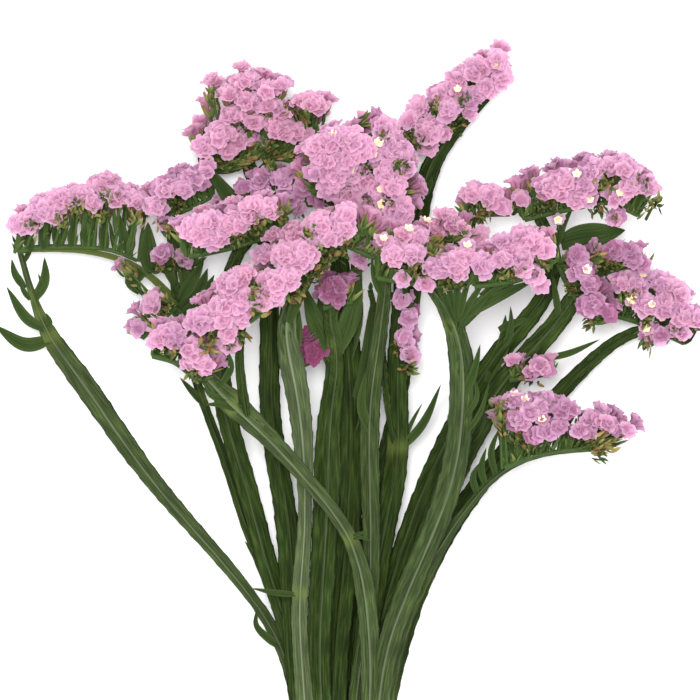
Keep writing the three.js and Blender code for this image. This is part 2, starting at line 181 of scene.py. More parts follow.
# A stem has its column and row in the tie, its widths from the cut end to the flowers, and its route above
# the tie. Tone is partly a stem's own colour and partly painted light: a high tone makes it paler, with more
# painted highlight on its ridges, and a low tone darkens it as painted shade on stems that lie low or behind
# others. Ridge moves its ridge to a side, joints are paler green, and sprouting is the length of its upper
# part with small leaves.
STEMS = {
    "stem_far_left": dict(column=0, row=0, tone=0.6, ridge=0.15, sprouting=0,
        widths=(8, 8, 8, 8, 8, 7.5, 7.5, 7, 6.5, 7.5, 8.5, 10, 11.5, 12.5, 11, 4, 3),
        joints=[(-183, 119, 16), (-188, 134, 17), (-193, 145, 18)],
        route=[(-28, -128, 5), (-40, -70, 5), (-62, -35, 6), (-122, 35, 10), (-169, 102, 14),
            (-183, 119, 16), (-192, 142, 18), (-201, 175, 20)]),
    "stem_left_thin": dict(column=0, row=1, tone=0.3, ridge=-0.2, widths=(7, 6.5, 6, 5, 4.5),
        joints=[(-90, 82, 24)],
        route=[(-32, -92, 12), (-42, -50, 12), (-63, 4, 14), (-77, 49, 18), (-90, 82, 24), (-101, 124, 28),
            (-107, 154, 31), (-109, 181, 35), (-103, 202, 36)]),
    "stem_left_wide": dict(column=1, row=1, tone=0.3, ridge=0.25, widths=(9, 10, 11, 11, 6),
        route=[(-27, -92, 16), (-53, -8, 23), (-60, 22, 28), (-77, 83, 50), (-77, 118, 62), (-73, 154, 76),
            (-67, 175, 88), (-49, 187, 92)]),
    "stem_left_inner": dict(column=0, row=2, tone=0.15, ridge=-0.3, widths=(10, 12, 13, 11, 7),
        route=[(-32, -86, 23), (-36, -14, 28), (-41, 28, 28), (-48, 64, 27), (-49, 154, 25), (-53, 193, 24),
            (-61, 226, 24), (-75, 250, 24)]),
    "stem_front_diagonal": dict(column=2, row=3, tone=0.65, ridge=0.3,
        widths=(9, 9, 10, 10, 10, 10.5, 11, 11, 8, 8, 10, 14, 5), joints=[(2, -1, 57), (-69, 79, 92)],
        route=[(13, -94, 34), (3, -5, 56), (-19, 26, 67), (-53, 64, 84), (-83, 92, 98), (-95, 107, 102)]),
    "stem_front_pale": dict(column=0, row=3, tone=0.9, ridge=0.1,
        widths=(10, 10, 11, 11, 11, 9, 9, 7.5, 11.5, 14, 7, 2.5), joints=[(-31, -35, 42)],
        route=[(-28, -94, 34), (-31, -35, 42), (-28, -14, 44), (-27, 22, 46), (-28, 58, 52), (-35, 106, 66),
            (-40, 124, 78), (-35, 142, 90), (-23, 161, 97), (-8, 176, 97)]),
    "stem_centre_front": dict(column=1, row=3, tone=0.35, ridge=-0.25, widths=(10, 12, 13, 15, 6),
        joints=[(-7, 116, 50)],
        route=[(-19, -92, 30), (-14, 22, 36), (-13, 70, 42), (-7, 116, 50), (-17, 134, 57),
            (-12, 148, 60)]),
    "stem_centre_back": dict(column=1, row=2, tone=0.1, ridge=0.2, widths=(10, 12, 14, 15, 7),
        route=[(-9, -92, 20), (0, 22, 27), (0, 100, 35), (-11, 202, 58), (-13, 223, 60)]),
    "stem_centre_right": dict(column=2, row=2, tone=0.55, ridge=0.0, widths=(8, 9, 9, 11, 5),
        route=[(4, -92, 22), (10, -62, 25), (13, -20, 30), (12, 82, 42), (17, 112, 50), (20, 142, 60),
            (23, 160, 70), (20, 174, 80), (10, 182, 84)]),
    "stem_right_inner": dict(column=2, row=1, tone=0.2, ridge=-0.2, widths=(9, 11, 14, 12, 6),
        joints=[(31, 53, 28)],
        route=[(7, -86, 14), (18, -8, 20), (29, 46, 26), (28, 94, 36), (32, 184, 54), (25, 214, 56)]),
    "stem_right_front": dict(column=3, row=3, tone=0.6, ridge=-0.1,
        widths=(9, 10, 11, 12, 12.5, 13, 14, 14, 4), joints=[(63, 127, 82)],
        route=[(18, -94, 34), (24, -62, 41), (60, 28, 60), (65, 52, 66), (67, 112, 78), (61, 131, 83),
            (53, 146, 88), (41, 156, 90)]),
    "stem_right_low": dict(column=3, row=2, tone=0.55, ridge=0.2, sprouting=0,
        widths=(8, 8, 8, 9, 10, 10, 9, 4, 3, 2.4),
        route=[(23, -86, 26), (34, -47, 35), (44, -25, 39), (72, 19, 47), (94, 42, 52), (117, 50, 54),
            (154, 52, 51)]),
    "stem_right_tall": dict(column=2, row=0, tone=0.25, ridge=0.25,
        widths=(8, 9, 10, 11, 12, 12, 12, 12, 11.5, 9.5, 6),
        route=[(15, -74, 7), (33, -8, 13), (54, 46, 19), (93, 115, 34), (114, 136, 39), (126, 164, 45),
            (121, 181, 50), (110, 198, 54)]),
    "stem_right_thick": dict(column=3, row=1, tone=0.35, ridge=0.1, widths=(9, 11, 14, 15, 9),
        route=[(23, -86, 14), (37, -32, 19), (54, 16, 25), (72, 58, 31), (99, 100, 38), (117, 118, 42),
            (134, 140, 46), (143, 156, 48), (150, 164, 46)]),
    "stem_far_right": dict(column=3, row=0, tone=0.2, ridge=-0.2, widths=(8, 9, 11, 11, 5),
        route=[(21, -110, 5), (42, -32, 7), (72, 22, 12), (102, 58, 16), (157, 115, 22), (177, 127, 24),
            (199, 124, 22)]),
    "stem_top_right": dict(column=1, row=0, tone=0.2, ridge=0.2, sprouting=0,
        widths=(8, 9, 9, 9, 9, 9, 7, 11, 4),
        route=[(-3, -92, 6), (1, -50, 7), (15, 22, 9), (30, 82, 12), (39, 142, 16), (43, 199, 19),
            (47, 223, 20), (92, 275, 20)]),
}

# Branches have their whole route, and young ones are as pale as joints all along.
BRANCHES = {
    "branch_left_arch": dict(sprouting=0, young=1.2, widths=(4.5, 3.2, 2.2),
        route=[(-104, 139, 30), (-115, 153, 29), (-129, 164, 27), (-147, 170, 25), (-168, 173, 24),
            (-193, 172, 23)]),
    "branch_left_low": dict(widths=(4, 2.6), route=[(-96, 106, 26), (-109, 119, 29), (-121, 131, 31)]),
    "branch_upper_left": dict(young=0.6, widths=(5, 3),
        route=[(-58, 215, 24), (-44, 233, 27), (-23, 248, 28)]),
    "branch_front_left": dict(widths=(6, 4),
        route=[(-62, 72, 89), (-66, 98, 98), (-67, 121, 104), (-61, 139, 106)]),
    "branch_front_right": dict(widths=(6, 3),
        route=[(64, 124, 81), (72, 140, 86), (90, 149, 90), (114, 162, 86)]),
    "branch_behind_right": dict(widths=(4.5, 3),
        route=[(67, 110, 77), (68, 133, 70), (60, 163, 62), (61, 179, 59), (82, 197, 53)]),
    "branch_far_right": dict(widths=(4, 2.6), route=[(142, 154, 48), (154, 161, 42), (174, 164, 39)]),
    "branch_centre_thin": dict(widths=(4.5, 3),
        route=[(29, 52, 27), (23, 70, 32), (19, 121, 40), (12, 148, 43)]),
}

# height and depth are half sizes across a head's centre line. Each fan of flowers has its place in plan and
# its radius. Tufts are spots where green scales show between the fans, and cream are flowers that are open.
# A head may have its own line of stalks, a comb with another pitch, no leaves on its back, or a shade value:
# a positive shade paints its pink cooler and deep magenta, as painted shade on a head that lies in shade,
# and a negative one keeps it warmer, as painted light on a head that others shade.
FLOWERS = {
    "flowers_left_arch": dict(comb=4.0, leafy_back=False, height=20, depth=24,
        route=[(-200, 186, 24), (-173, 194, 24), (-147, 198, 24), (-120, 197, 26)],
        stalk=[(-205, 170, 23), (-193, 173, 23), (-168, 174, 24), (-145, 172, 26), (-125, 164, 28)],
        fans=[(-198, 188, 8), (-183, 198, 11), (-173, 205, 10), (-160, 207, 10), (-148, 216, 11),
            (-155, 200, 5), (-139, 208, 10), (-129, 203, 8), (-192, 191, 8)],
        tufts=[(-145, 204), (-152, 194), (-164, 199), (-191, 188), (-128, 194), (-174, 190)]),
    "flowers_left_top": dict(shade=0.3, height=17, depth=20,
        route=[(-120, 203, 36), (-104, 208, 36), (-88, 216, 34)],
        fans=[(-111, 211, 10), (-117, 199, 7), (-95, 216, 10), (-111, 188, 5), (-87, 221, 6), (-79, 200, 5),
            (-101, 209, 6)], tufts=[(-104, 200), (-111, 185)]),
    "flowers_left_small": dict(shade=0.55, height=9, depth=12,
        route=[(-119, 168, 31), (-107, 168, 32), (-94, 169, 31)], fans=[(-113, 170, 7), (-100, 168, 7)],
        tufts=[(-104, 163), (-114, 161)]),
    "flowers_left_low": dict(height=12, depth=14, route=[(-133, 125, 30), (-121, 135, 32), (-110, 145, 33)],
        fans=[(-120, 141, 8), (-128, 125, 5), (-140, 163, 4)],
        tufts=[(-114, 133), (-111, 139), (-135, 161)]),
    "flowers_front_upper": dict(height=19, depth=20,
        route=[(-102, 181, 92), (-72, 187, 95), (-37, 198, 95)],
        fans=[(-92, 185, 11), (-79, 180, 8), (-83, 190, 8), (-68, 191, 10), (-59, 198, 8), (-50, 196, 8),
            (-73, 185, 7), (-61, 192, 7), (-90, 178, 6)],
        tufts=[(-61, 182), (-55, 186), (-41, 193), (-68, 178)]),
    "flowers_front_middle": dict(height=18, depth=20, route=[(-60, 146, 99), (-30, 168, 102), (0, 191, 99)],
        fans=[(-20, 188, 10), (-6, 186, 10), (-13, 179, 8), (-36, 184, 10), (-28, 172, 10), (-40, 170, 9),
            (-53, 170, 9), (-47, 181, 6), (-30, 163, 7), (-3, 194, 7)],
        tufts=[(-24, 182), (-17, 172), (-3, 175), (-6, 170), (-12, 167), (-17, 163), (-21, 158), (-26, 153),
            (-30, 148), (-34, 142)]),
    "flowers_front_diagonal": dict(height=20, depth=20,
        route=[(-88, 131, 107), (-68, 141, 110), (-52, 154, 108)],
        fans=[(-47, 151, 11), (-36, 155, 8), (-53, 142, 7), (-45, 142, 5), (-73, 153, 11), (-64, 157, 8),
            (-66, 142, 9), (-76, 139, 8), (-90, 131, 10), (-77, 130, 7), (-65, 132, 7), (-72, 122, 6),
            (-71, 115, 7)], tufts=[(-56, 146), (-55, 136), (-82, 120), (-66, 118)]),
    "flowers_front_low": dict(height=18, depth=18,
        route=[(-116, 122, 103), (-98, 116, 105), (-80, 101, 103)],
        fans=[(-106, 121, 10), (-115, 118, 6), (-95, 114, 7), (-90, 109, 9), (-96, 104, 5), (-85, 102, 5)],
        tufts=[(-104, 112), (-85, 115), (-92, 98)]),
    "flowers_upper_left": dict(shade=-0.3, height=21, depth=26,
        route=[(-88, 239, 24), (-73, 257, 25), (-53, 266, 25), (-34, 270, 25)],
        stalk=[(-88, 221, 24), (-73, 220, 25), (-60, 226, 26), (-49, 230, 27)],
        fans=[(-83, 276, 8), (-63, 276, 9), (-73, 268, 8), (-49, 270, 9), (-40, 272, 6), (-60, 263, 9),
            (-71, 254, 8), (-46, 260, 8), (-77, 244, 10), (-88, 235, 8), (-73, 234, 8), (-59, 251, 8),
            (-53, 242, 8), (-65, 240, 8), (-39, 250, 8), (-47, 250, 7), (-66, 284, 5)],
        tufts=[(-83, 266), (-83, 226), (-77, 224), (-69, 224), (-62, 228), (-57, 232), (-52, 234),
            (-40, 257)]),
    "flowers_upper_middle": dict(shade=-0.9, height=15, depth=20,
        route=[(-53, 244, 30), (-32, 252, 30), (-11, 262, 29)],
        stalk=[(-55, 228, 30), (-36, 226, 31), (-17, 214, 32)],
        fans=[(-22, 263, 10), (-29, 263, 7), (-42, 247, 9), (-30, 244, 8), (-41, 254, 5)],
        tufts=[(-26, 254), (-47, 233), (-42, 232), (-36, 232), (-30, 229), (-25, 224), (-20, 218)]),
    "flowers_inner_left": dict(shade=0.55, height=16, depth=18,
        route=[(-67, 206, 38), (-36, 211, 40), (-7, 210, 41)],
        fans=[(-53, 217, 8), (-40, 216, 8), (-25, 211, 8), (-36, 204, 8), (-54, 209, 7), (-19, 203, 7),
            (-32, 197, 5), (-64, 210, 5), (-12, 206, 7)], tufts=[(-24, 221), (-48, 223)]),
    "flowers_top_left": dict(height=20, depth=25, route=[(-29, 212, 66), (-12, 229, 68), (6, 241, 66)],
        fans=[(-12, 238, 10), (0, 238, 10), (-20, 235, 8), (-3, 226, 9), (-17, 226, 7), (8, 232, 8),
            (-2, 209, 10), (3, 218, 7), (-10, 216, 7), (18, 227, 9), (-13, 209, 8), (-22, 218, 6),
            (10, 211, 7), (1, 199, 8)], tufts=[(8, 221)], cream=[(-10, 241), (0, 220), (14, 229)]),
    "flowers_top_right": dict(height=20, depth=24, route=[(8, 250, 56), (23, 226, 58), (36, 193, 58)],
        fans=[(22, 245, 10), (31, 232, 10), (22, 218, 8), (28, 209, 8), (31, 196, 10), (14, 197, 10),
            (8, 184, 7), (10, 174, 8), (25, 232, 7), (6, 164, 5), (35, 220, 5), (10, 204, 7), (17, 208, 7)],
        tufts=[(19, 241), (25, 199), (32, 222)], cream=[(17, 236), (18, 208), (19, 199)]),
    "flowers_top_low": dict(shade=-0.9, height=17, depth=18,
        route=[(-10, 194, 88), (11, 182, 90), (36, 173, 87)],
        fans=[(61, 192, 11), (53, 186, 8), (41, 179, 8), (68, 185, 5), (32, 181, 5)],
        tufts=[(67, 181), (52, 176)], cream=[(46, 189), (35, 184)]),
    "flowers_top_spike": dict(height=15, depth=22,
        route=[(32, 240, 21), (60, 260, 21), (79, 277, 21), (98, 295, 20)],
        stalk=[(40, 232, 20), (54, 242, 20), (70, 256, 20), (82, 269, 20), (89, 278, 20)],
        fans=[(89, 287, 8), (92, 278, 8), (75, 283, 9), (83, 271, 8), (64, 276, 8), (74, 265, 8),
            (54, 268, 9), (60, 258, 8), (72, 256, 5), (41, 259, 8), (47, 245, 10), (48, 235, 6),
            (35, 251, 5), (56, 242, 5)], tufts=[(51, 259), (69, 263), (65, 250), (35, 241), (41, 239)],
        cream=[(65, 269), (88, 284)]),
    "flowers_right_small": dict(height=12, depth=14, route=[(64, 200, 51), (80, 202, 52), (98, 202, 51)],
        fans=[(73, 207, 8), (84, 206, 8), (91, 198, 5), (103, 203, 5)], tufts=[(82, 196), (78, 188)]),
    "flowers_right_behind": dict(shade=-0.8, height=12, depth=14,
        route=[(41, 185, 60), (58, 186, 61), (74, 186, 60)], fans=[(78, 180, 6)]),
    "flowers_band_left": dict(height=17, depth=19, route=[(16, 168, 91), (45, 163, 95), (70, 162, 95)],
        fans=[(28, 170, 9), (38, 170, 8), (57, 164, 10), (68, 168, 8), (64, 160, 7), (80, 164, 9),
            (45, 151, 4), (49, 161, 5), (31, 154, 4)],
        tufts=[(50, 172), (36, 160), (42, 158), (57, 152), (64, 152)], cream=[(20, 178), (70, 174)]),
    "flowers_band_right": dict(height=17, depth=18, route=[(70, 162, 95), (96, 166, 93), (121, 178, 88)],
        fans=[(92, 169, 9), (102, 164, 9), (107, 178, 9), (115, 172, 7), (101, 181, 7), (110, 157, 6),
            (114, 150, 4), (90, 178, 5)], tufts=[(93, 158), (98, 158), (115, 164)]),
    "flowers_hanging": dict(shade=0.5, height=9, depth=14,
        route=[(33, 149, 44), (34, 127, 40), (35, 103, 36)],
        fans=[(31, 142, 5), (35, 130, 6), (33, 119, 5), (37, 109, 5)], tufts=[(31, 113), (37, 102)]),
    "flowers_centre": dict(shade=0.8, height=13, depth=14,
        route=[(-20, 146, 60), (-9, 149, 61), (2, 150, 60)],
        fans=[(-10, 151, 8), (-7, 143, 5), (-13, 145, 5)]),
    "flowers_centre_low": dict(shade=1.0, height=12, depth=14,
        route=[(-36, 109, 40), (-25, 114, 41), (-13, 120, 42)], fans=[(-23, 112, 10), (-26, 122, 5)]),
    "flowers_right_top": dict(shade=0.2, height=20, depth=22,
        route=[(97, 204, 57), (129, 211, 58), (157, 215, 57), (184, 204, 54)],
        fans=[(117, 211, 9), (127, 215, 9), (136, 203, 7), (145, 222, 9), (141, 211, 8), (155, 223, 6),
            (160, 204, 8), (165, 223, 10), (169, 211, 8), (159, 191, 6), (180, 212, 7), (126, 206, 5)],
        tufts=[(152, 212), (176, 212), (183, 200), (114, 199), (121, 199), (149, 196)],
        cream=[(136, 217), (144, 202), (162, 206), (125, 190)]),
    "flowers_right_middle": dict(shade=0.65, height=14, depth=18,
        route=[(134, 170, 50), (143, 151, 50), (158, 133, 47)],
        fans=[(137, 168, 7), (139, 160, 8), (144, 152, 7), (148, 140, 8), (155, 134, 5), (140, 138, 5),
            (148, 174, 5)], tufts=[(149, 168), (144, 128), (133, 148)], cream=[(142, 160)]),
    "flowers_right_inner": dict(shade=0.75, height=10, depth=14,
        route=[(145, 167, 40), (162, 169, 40), (181, 169, 38)],
        fans=[(158, 172, 7), (169, 170, 8), (176, 164, 5)], tufts=[(156, 164), (163, 164)]),
    "flowers_far_right": dict(shade=0.2, height=21, depth=24,
        route=[(154, 151, 22), (183, 142, 22), (212, 128, 20)],
        fans=[(166, 155, 10), (175, 151, 7), (188, 154, 10), (199, 148, 8), (178, 140, 8), (191, 139, 9),
            (202, 133, 8), (199, 124, 7), (181, 122, 7), (188, 121, 5), (210, 131, 7)],
        tufts=[(179, 130), (197, 122), (169, 145), (179, 115)],
        cream=[(177, 157), (170, 142), (182, 139), (179, 125)]),
    "flowers_low_right": dict(shade=0.5, height=19, depth=20,
        route=[(89, 73, 55), (117, 70, 57), (139, 72, 55)],
        stalk=[(91, 40, 53), (108, 47, 54), (133, 52, 53)],
        fans=[(98, 83, 8), (117, 82, 10), (130, 77, 8), (102, 71, 8), (117, 64, 8), (126, 67, 6),
            (109, 77, 7), (110, 60, 5)], tufts=[(100, 59), (108, 55), (93, 67), (90, 79)],
        cream=[(105, 82), (99, 85), (115, 70)]),
    "flowers_low_far": dict(shade=0.35, height=15, depth=16,
        route=[(134, 62, 53), (156, 64, 52), (175, 62, 50)],
        stalk=[(126, 51, 53), (140, 52, 53), (152, 52, 51)],
        fans=[(148, 71, 8), (157, 67, 7), (167, 64, 5), (140, 64, 7), (151, 77, 5)],
        tufts=[(148, 55), (156, 55), (152, 50)]),
    "flowers_low_small": dict(shade=0.2, height=9, depth=11,
        route=[(94, 100, 40), (108, 102, 42), (122, 104, 42)],
        fans=[(114, 103, 6), (109, 98, 4), (98, 106, 3), (118, 100, 4)], tufts=[(109, 95)]),
}

# Leaves with a CAD node: width, then points from the base to the tip.
LEAVES = {
    "leaf_far_left_long": (8, (-181, 118, 16), (-197, 115, 17), (-216, 127, 20)),
    "leaf_far_left_short": (6, (-185, 124, 17), (-196, 131, 21), (-208, 150, 26)),
    "leaf_curled": (4.5, (-37, -71, 6), (-49, -64, 8), (-57, -55, 11), (-56, -44, 14)),
    "leaf_right_large": (15, (127, 176, 46), (144, 180, 45), (166, 184, 40)),
    "leaf_centre_broad": (10, (-7, 110, 49), (1, 136, 53), (7, 163, 54)),
    "leaf_right_curved": (5, (29, 50, 27), (44, 67, 32), (55, 91, 36)),
}

# Leaves too small for a CAD node of their own, by the stem or branch that they grow on.
SMALL_LEAVES = {
    "stem_far_left": [
        (3.5, (-186, 124, 17), (-182, 128, 19), (-184, 134, 21)),
        (6, (-191, 142, 18), (-185, 154, 20), (-185, 168, 22)),
        (4.5, (-197, 149, 18), (-203, 158, 20), (-205, 167, 21)),
        (3, (-194, 142, 18), (-198, 148, 20), (-200, 154, 22)),
        (3, (-198, 164, 19), (-194, 174, 20), (-198, 180, 21)),
        (3, (-192, 146, 18), (-187, 151, 20), (-189, 158, 21)),
    ],
    "branch_left_arch": [
        (6, (-133, 169, 27), (-137, 181, 30), (-140, 195, 32)),
        (10.5, (-120, 158, 28), (-122, 173, 32), (-122, 189, 34)),
        (8.5, (-125, 159, 28), (-132, 154, 31), (-128, 145, 30)),
        (6, (-148, 172, 26), (-149, 182, 29), (-148, 193, 31)),
        (5, (-157, 173, 25), (-160, 182, 28), (-162, 192, 30)),
        (5.5, (-168, 174, 25), (-168, 182, 28), (-166, 191, 30)),
        (5, (-176, 174, 25), (-178, 181, 28), (-179, 188, 30)),
        (5.5, (-185, 173, 25), (-186, 181, 28), (-188, 188, 30)),
        (5, (-193, 172, 25), (-194, 179, 28), (-195, 186, 30)),
    ],
    "stem_left_thin": [
        (8, (-98, 124, 27), (-91, 140, 31), (-82, 157, 34)),
        (7, (-101, 134, 30), (-86, 142, 34), (-71, 148, 36)),
        (7, (-103, 142, 31), (-95, 154, 34), (-88, 167, 35)),
        (6, (-107, 152, 32), (-110, 164, 34), (-104, 178, 36)),
        (3.5, (-52, -25, 13), (-56, -16, 15), (-64, -4, 16)),
        (4, (-88, 78, 24), (-95, 86, 26), (-103, 95, 28)),
        (8, (-103, 136, 30), (-92, 146, 32), (-86, 161, 33)),
        (6, (-108, 157, 32), (-114, 164, 34), (-120, 175, 36)),
        (7, (-96, 140, 29), (-101, 161, 34), (-107, 186, 38)),
        (6, (-98, 122, 27), (-104, 133, 31), (-113, 142, 34)),
        (6, (-104, 148, 30), (-97, 156, 33), (-96, 169, 36)),
    ],
    "stem_front_diagonal": [
        (2, (2, -2, 58), (7, -1, 59), (13, -4, 59)), (2, (2, 0, 58), (8, 2, 60), (11, 3, 61)),
        (4, (-66, 76, 90), (-77, 79, 94), (-87, 79, 94)), (4, (-71, 82, 93), (-82, 84, 97), (-88, 90, 99)),
        (5, (-86, 98, 98), (-95, 103, 102), (-102, 110, 103)),
        (4, (-77, 91, 97), (-71, 101, 101), (-73, 112, 104)),
    ],
    "stem_front_pale": [
        (3.5, (-31, -36, 42), (-43, -35, 44), (-60, -32, 45)),
        (7, (-35, 106, 67), (-40, 120, 74), (-41, 138, 79)),
        (7, (-35, 106, 67), (-32, 122, 74), (-31, 139, 78)),
        (6, (-37, 128, 85), (-30, 144, 92), (-19, 160, 97)),
        (5, (-36, 136, 88), (-29, 151, 95), (-26, 164, 98)),
        (5, (-30, 151, 96), (-19, 163, 99), (-7, 170, 98)),
    ],
    "stem_centre_back": [
        (10, (1, 64, 30), (10, 98, 34), (13, 142, 40)), (8, (-1, 106, 36), (4, 136, 42), (1, 168, 48)),
        (8, (-6, 112, 40), (-14, 142, 44), (-19, 164, 48)),
        (8, (-2, 124, 42), (-12, 134, 46), (-18, 150, 50)), (7, (-5, 142, 46), (1, 156, 54), (13, 164, 60)),
    ],
    "stem_centre_front": [
        (11, (-10, 106, 48), (-20, 127, 51), (-28, 151, 58)),
        (11, (-8, 112, 49), (1, 133, 52), (7, 156, 58)),
        (8, (-12, 102, 47), (-17, 124, 49), (-19, 144, 54)),
        (8, (-10, 108, 50), (-20, 126, 52), (-28, 148, 54)),
        (5, (-6, 115, 52), (-10, 131, 56), (-4, 144, 58)),
    ],
    "stem_centre_right": [
        (5.5, (13, 61, 40), (7, 77, 44), (10, 101, 48)), (7, (22, 142, 62), (16, 156, 70), (13, 168, 78)),
    ],
    "stem_right_inner": [
        (2.5, (32, 54, 28), (37, 67, 31), (44, 80, 34)), (6, (30, 124, 44), (35, 139, 50), (31, 152, 56)),
    ],
    "stem_right_thick": [
        (3.8, (117, 106, 40), (133, 110, 40), (151, 118, 38)),
        (5, (72, 55, 31), (79, 67, 34), (82, 83, 37)), (4, (131, 136, 46), (133, 148, 50), (128, 161, 54)),
        (4, (126, 131, 45), (124, 144, 50), (122, 157, 54)),
    ],
    "stem_right_front": [
        (5, (67, 82, 73), (74, 98, 76), (78, 115, 78)), (4, (63, 128, 84), (56, 144, 90), (47, 161, 94)),
        (4, (64, 130, 85), (60, 145, 91), (55, 160, 95)), (4, (64, 130, 85), (64, 145, 91), (64, 161, 95)),
        (4, (65, 129, 85), (68, 144, 91), (73, 158, 95)), (4, (65, 128, 84), (73, 142, 90), (83, 157, 94)),
        (4, (66, 126, 84), (79, 141, 89), (94, 155, 93)), (3, (68, 70, 70), (76, 83, 73), (74, 98, 76)),
        (3, (67, 58, 67), (78, 74, 70), (84, 94, 72)),
    ],
    "branch_front_right": [
        (8, (64, 131, 84), (84, 142, 88), (110, 153, 86)), (5, (65, 124, 82), (79, 138, 84), (95, 144, 84)),
        (5, (78, 144, 88), (90, 151, 91), (106, 154, 90)),
    ],
    "stem_right_low": [
        (4, (82, 29, 50), (79, 40, 53), (82, 53, 55)), (4, (88, 35, 51), (85, 50, 54), (90, 65, 56)),
        (4, (77, 24, 49), (74, 35, 53), (78, 44, 56)), (4, (102, 46, 54), (97, 54, 58), (100, 62, 60)),
    ],
    "stem_left_inner": [
        (10, (-52, 180, 28), (-72, 203, 40), (-90, 227, 46)),
    ],
    "stem_top_right": [
        (4, (43, 202, 20), (37, 212, 23), (32, 222, 24)), (4, (44, 204, 20), (48, 211, 23), (50, 217, 24)),
    ],
    "stem_right_tall": [
        (5, (124, 174, 49), (128, 187, 54), (134, 197, 56)),
        (8, (83, 92, 30), (92, 113, 33), (94, 133, 36)), (5, (90, 124, 34), (100, 128, 38), (109, 131, 40)),
        (4, (93, 112, 34), (97, 124, 38), (97, 138, 40)),
    ],
}


def smooth_route(points, count):
    """count points, evenly spaced, on the centripetal Catmull-Rom curve through the given points."""
    points = np.array(points, float)
    ends = 2 * points[0] - points[1], 2 * points[-1] - points[-2]
    padded = np.vstack([ends[0], points, ends[1]])
    dense = []
    for p0, p1, p2, p3 in zip(padded, padded[1:], padded[2:], padded[3:]):
        step0, step1, step2 = (math.sqrt(np.linalg.norm(b - a)) for a, b in ((p0, p1), (p1, p2), (p2, p3)))
        leave = ((p1 - p0) / step0 - (p2 - p0) / (step0 + step1) + (p2 - p1) / step1) * step1
        arrive = ((p2 - p1) / step1 - (p3 - p1) / (step1 + step2) + (p3 - p2) / step2) * step1
        t = np.linspace(0, 1, 24, endpoint=False)[:, None]
        cubic = 2 * p1 - 2 * p2 + leave + arrive
        square = -3 * p1 + 3 * p2 - 2 * leave - arrive
        dense.append(p1 + t * (leave + t * (square + t * cubic)))
    dense = np.vstack([*dense, points[-1:]])
    lengths = np.concatenate([[0], np.cumsum(np.linalg.norm(np.diff(dense, axis=0), axis=1))])
    wanted = np.linspace(0, lengths[-1], count)
    return np.stack([np.interp(wanted, lengths, dense[:, k]) for k in range(3)], axis=1)


def unit(vectors):
    """The same directions with length 1."""
    return vectors / np.maximum(np.linalg.norm(vectors, axis=-1, keepdims=True), 1e-9)


def frames_along(points, up=UP):
    """For each point of a route: the direction along it, the direction to its left, and the one above."""
    along = unit(np.gradient(points, axis=0))
    left = unit(np.cross(up, along))
    above = np.cross(along, left)
    return along, left, above


def route_length(points):
    """The length of a route along its points."""
    return np.linalg.norm(np.diff(points, axis=0), axis=1).sum()


def between(values, t):
    """The values of an evenly spread row at t, from 0 to 1."""
    return np.interp(t, np.linspace(0, 1, len(values)), values)


def lifted(points, lowest):
    """The same points, none of them lower than a height."""
    return np.column_stack([points[:, :2], np.maximum(points[:, 2], lowest)])


def full_turn(count):
    """Angles evenly spread round a circle."""
    return np.linspace(0, 2 * math.pi, count, endpoint=False)


def offset(places, *parts):
    """Grids of points, off each place by grids of lengths along its directions, given as pairs."""
    axes = (len(places), *[1] * (parts[0][0].ndim - 1), 3)
    points = places.reshape(axes)
    for lengths, directions in parts:
        points = points + lengths[..., None] * directions.reshape(axes)
    return points


def together(*numbers):
    """The numbers at each corner as the last axis, each spread to the shape of all."""
    return np.stack(np.broadcast_arrays(*numbers), axis=-1)


class Shape:
    """The corners and four-sided faces of one piece in the making, with named numbers at each corner."""

    def __init__(self):
        self.points = []
        self.faces = []
        self.numbers = []
        self.count = 0

    def add_grid(self, points, numbers, closed):
        """Adds sheets, or tubes if closed, from points of (pieces, rows, columns) with their numbers."""
        pieces, rows, columns, _ = points.shape
        wrap = columns if closed else columns - 1
        row, column = np.meshgrid(np.arange(rows - 1), np.arange(wrap), indexing="ij")
        beside = (column + 1) % columns
        corners = [row * columns + column, row * columns + beside,
                   (row + 1) * columns + beside, (row + 1) * columns + column]
        quad = np.stack(corners, axis=-1).reshape(-1, 4)
        starts = self.count + np.arange(pieces) * rows * columns
        self.faces.append((starts[:, None, None] + quad[None]).reshape(-1, 4))
        self.points.append(points.reshape(-1, 3))
        self.numbers.append(numbers.reshape(-1, numbers.shape[-1]))
        self.count += pieces * rows * columns

    def to_object(self, name, material, kinds):
        """The finished mesh object. kinds names the numbers, which its material reads."""
        points = lifted(np.vstack(self.points) * MM, 0.0)
        numbers = np.vstack(self.numbers)
        mesh = bpy.data.meshes.new(name)
        mesh.from_pydata(points, [], np.vstack(self.faces))
        mesh.validate()
        mesh.polygons.foreach_set("use_smooth", np.ones(len(mesh.polygons), dtype=bool))
        for k, kind in enumerate(kinds):
            layer = mesh.attributes.new(kind, "FLOAT", "POINT")
            layer.data.foreach_set("value", numbers[:, k].astype(np.float32).ravel())
        mesh.materials.append(material)
        return add_to_scene(name, mesh)


def add_to_scene(name, data):
    """A new object with the given mesh, light or camera."""
    thing = bpy.data.objects.new(name, data)
    bpy.context.scene.collection.objects.link(thing)
    return thing


def calmed(points, reach):
    """The same route without its small waves: each point moves to the middle of its neighbours."""
    width = 2 * reach + 1
    for _ in range(4):
        before = 2 * points[0] - points[reach:0:-1]
        after = 2 * points[-1] - points[-2:-reach - 2:-1]
        padded = np.vstack([before, points, after])
        sums = np.cumsum(np.vstack([np.zeros(3), padded]), axis=0)
        points = (sums[width:] - sums[:-width]) / width
    return points


def tube(shape, points, radii, sides, numbers):
    """Adds a round tube along a route, from one radius to another."""
    _, left, above = frames_along(points)
    turn = full_turn(sides)[None, :, None]
    ring = np.cos(turn) * left[:, None] + np.sin(turn) * above[:, None]
    surface = points[:, None] + ring * np.linspace(*radii, len(points))[:, None, None]
    values = np.broadcast_to(numbers, (*surface.shape[:2], len(numbers)))
    shape.add_grid(surface[None], values[None], closed=True)


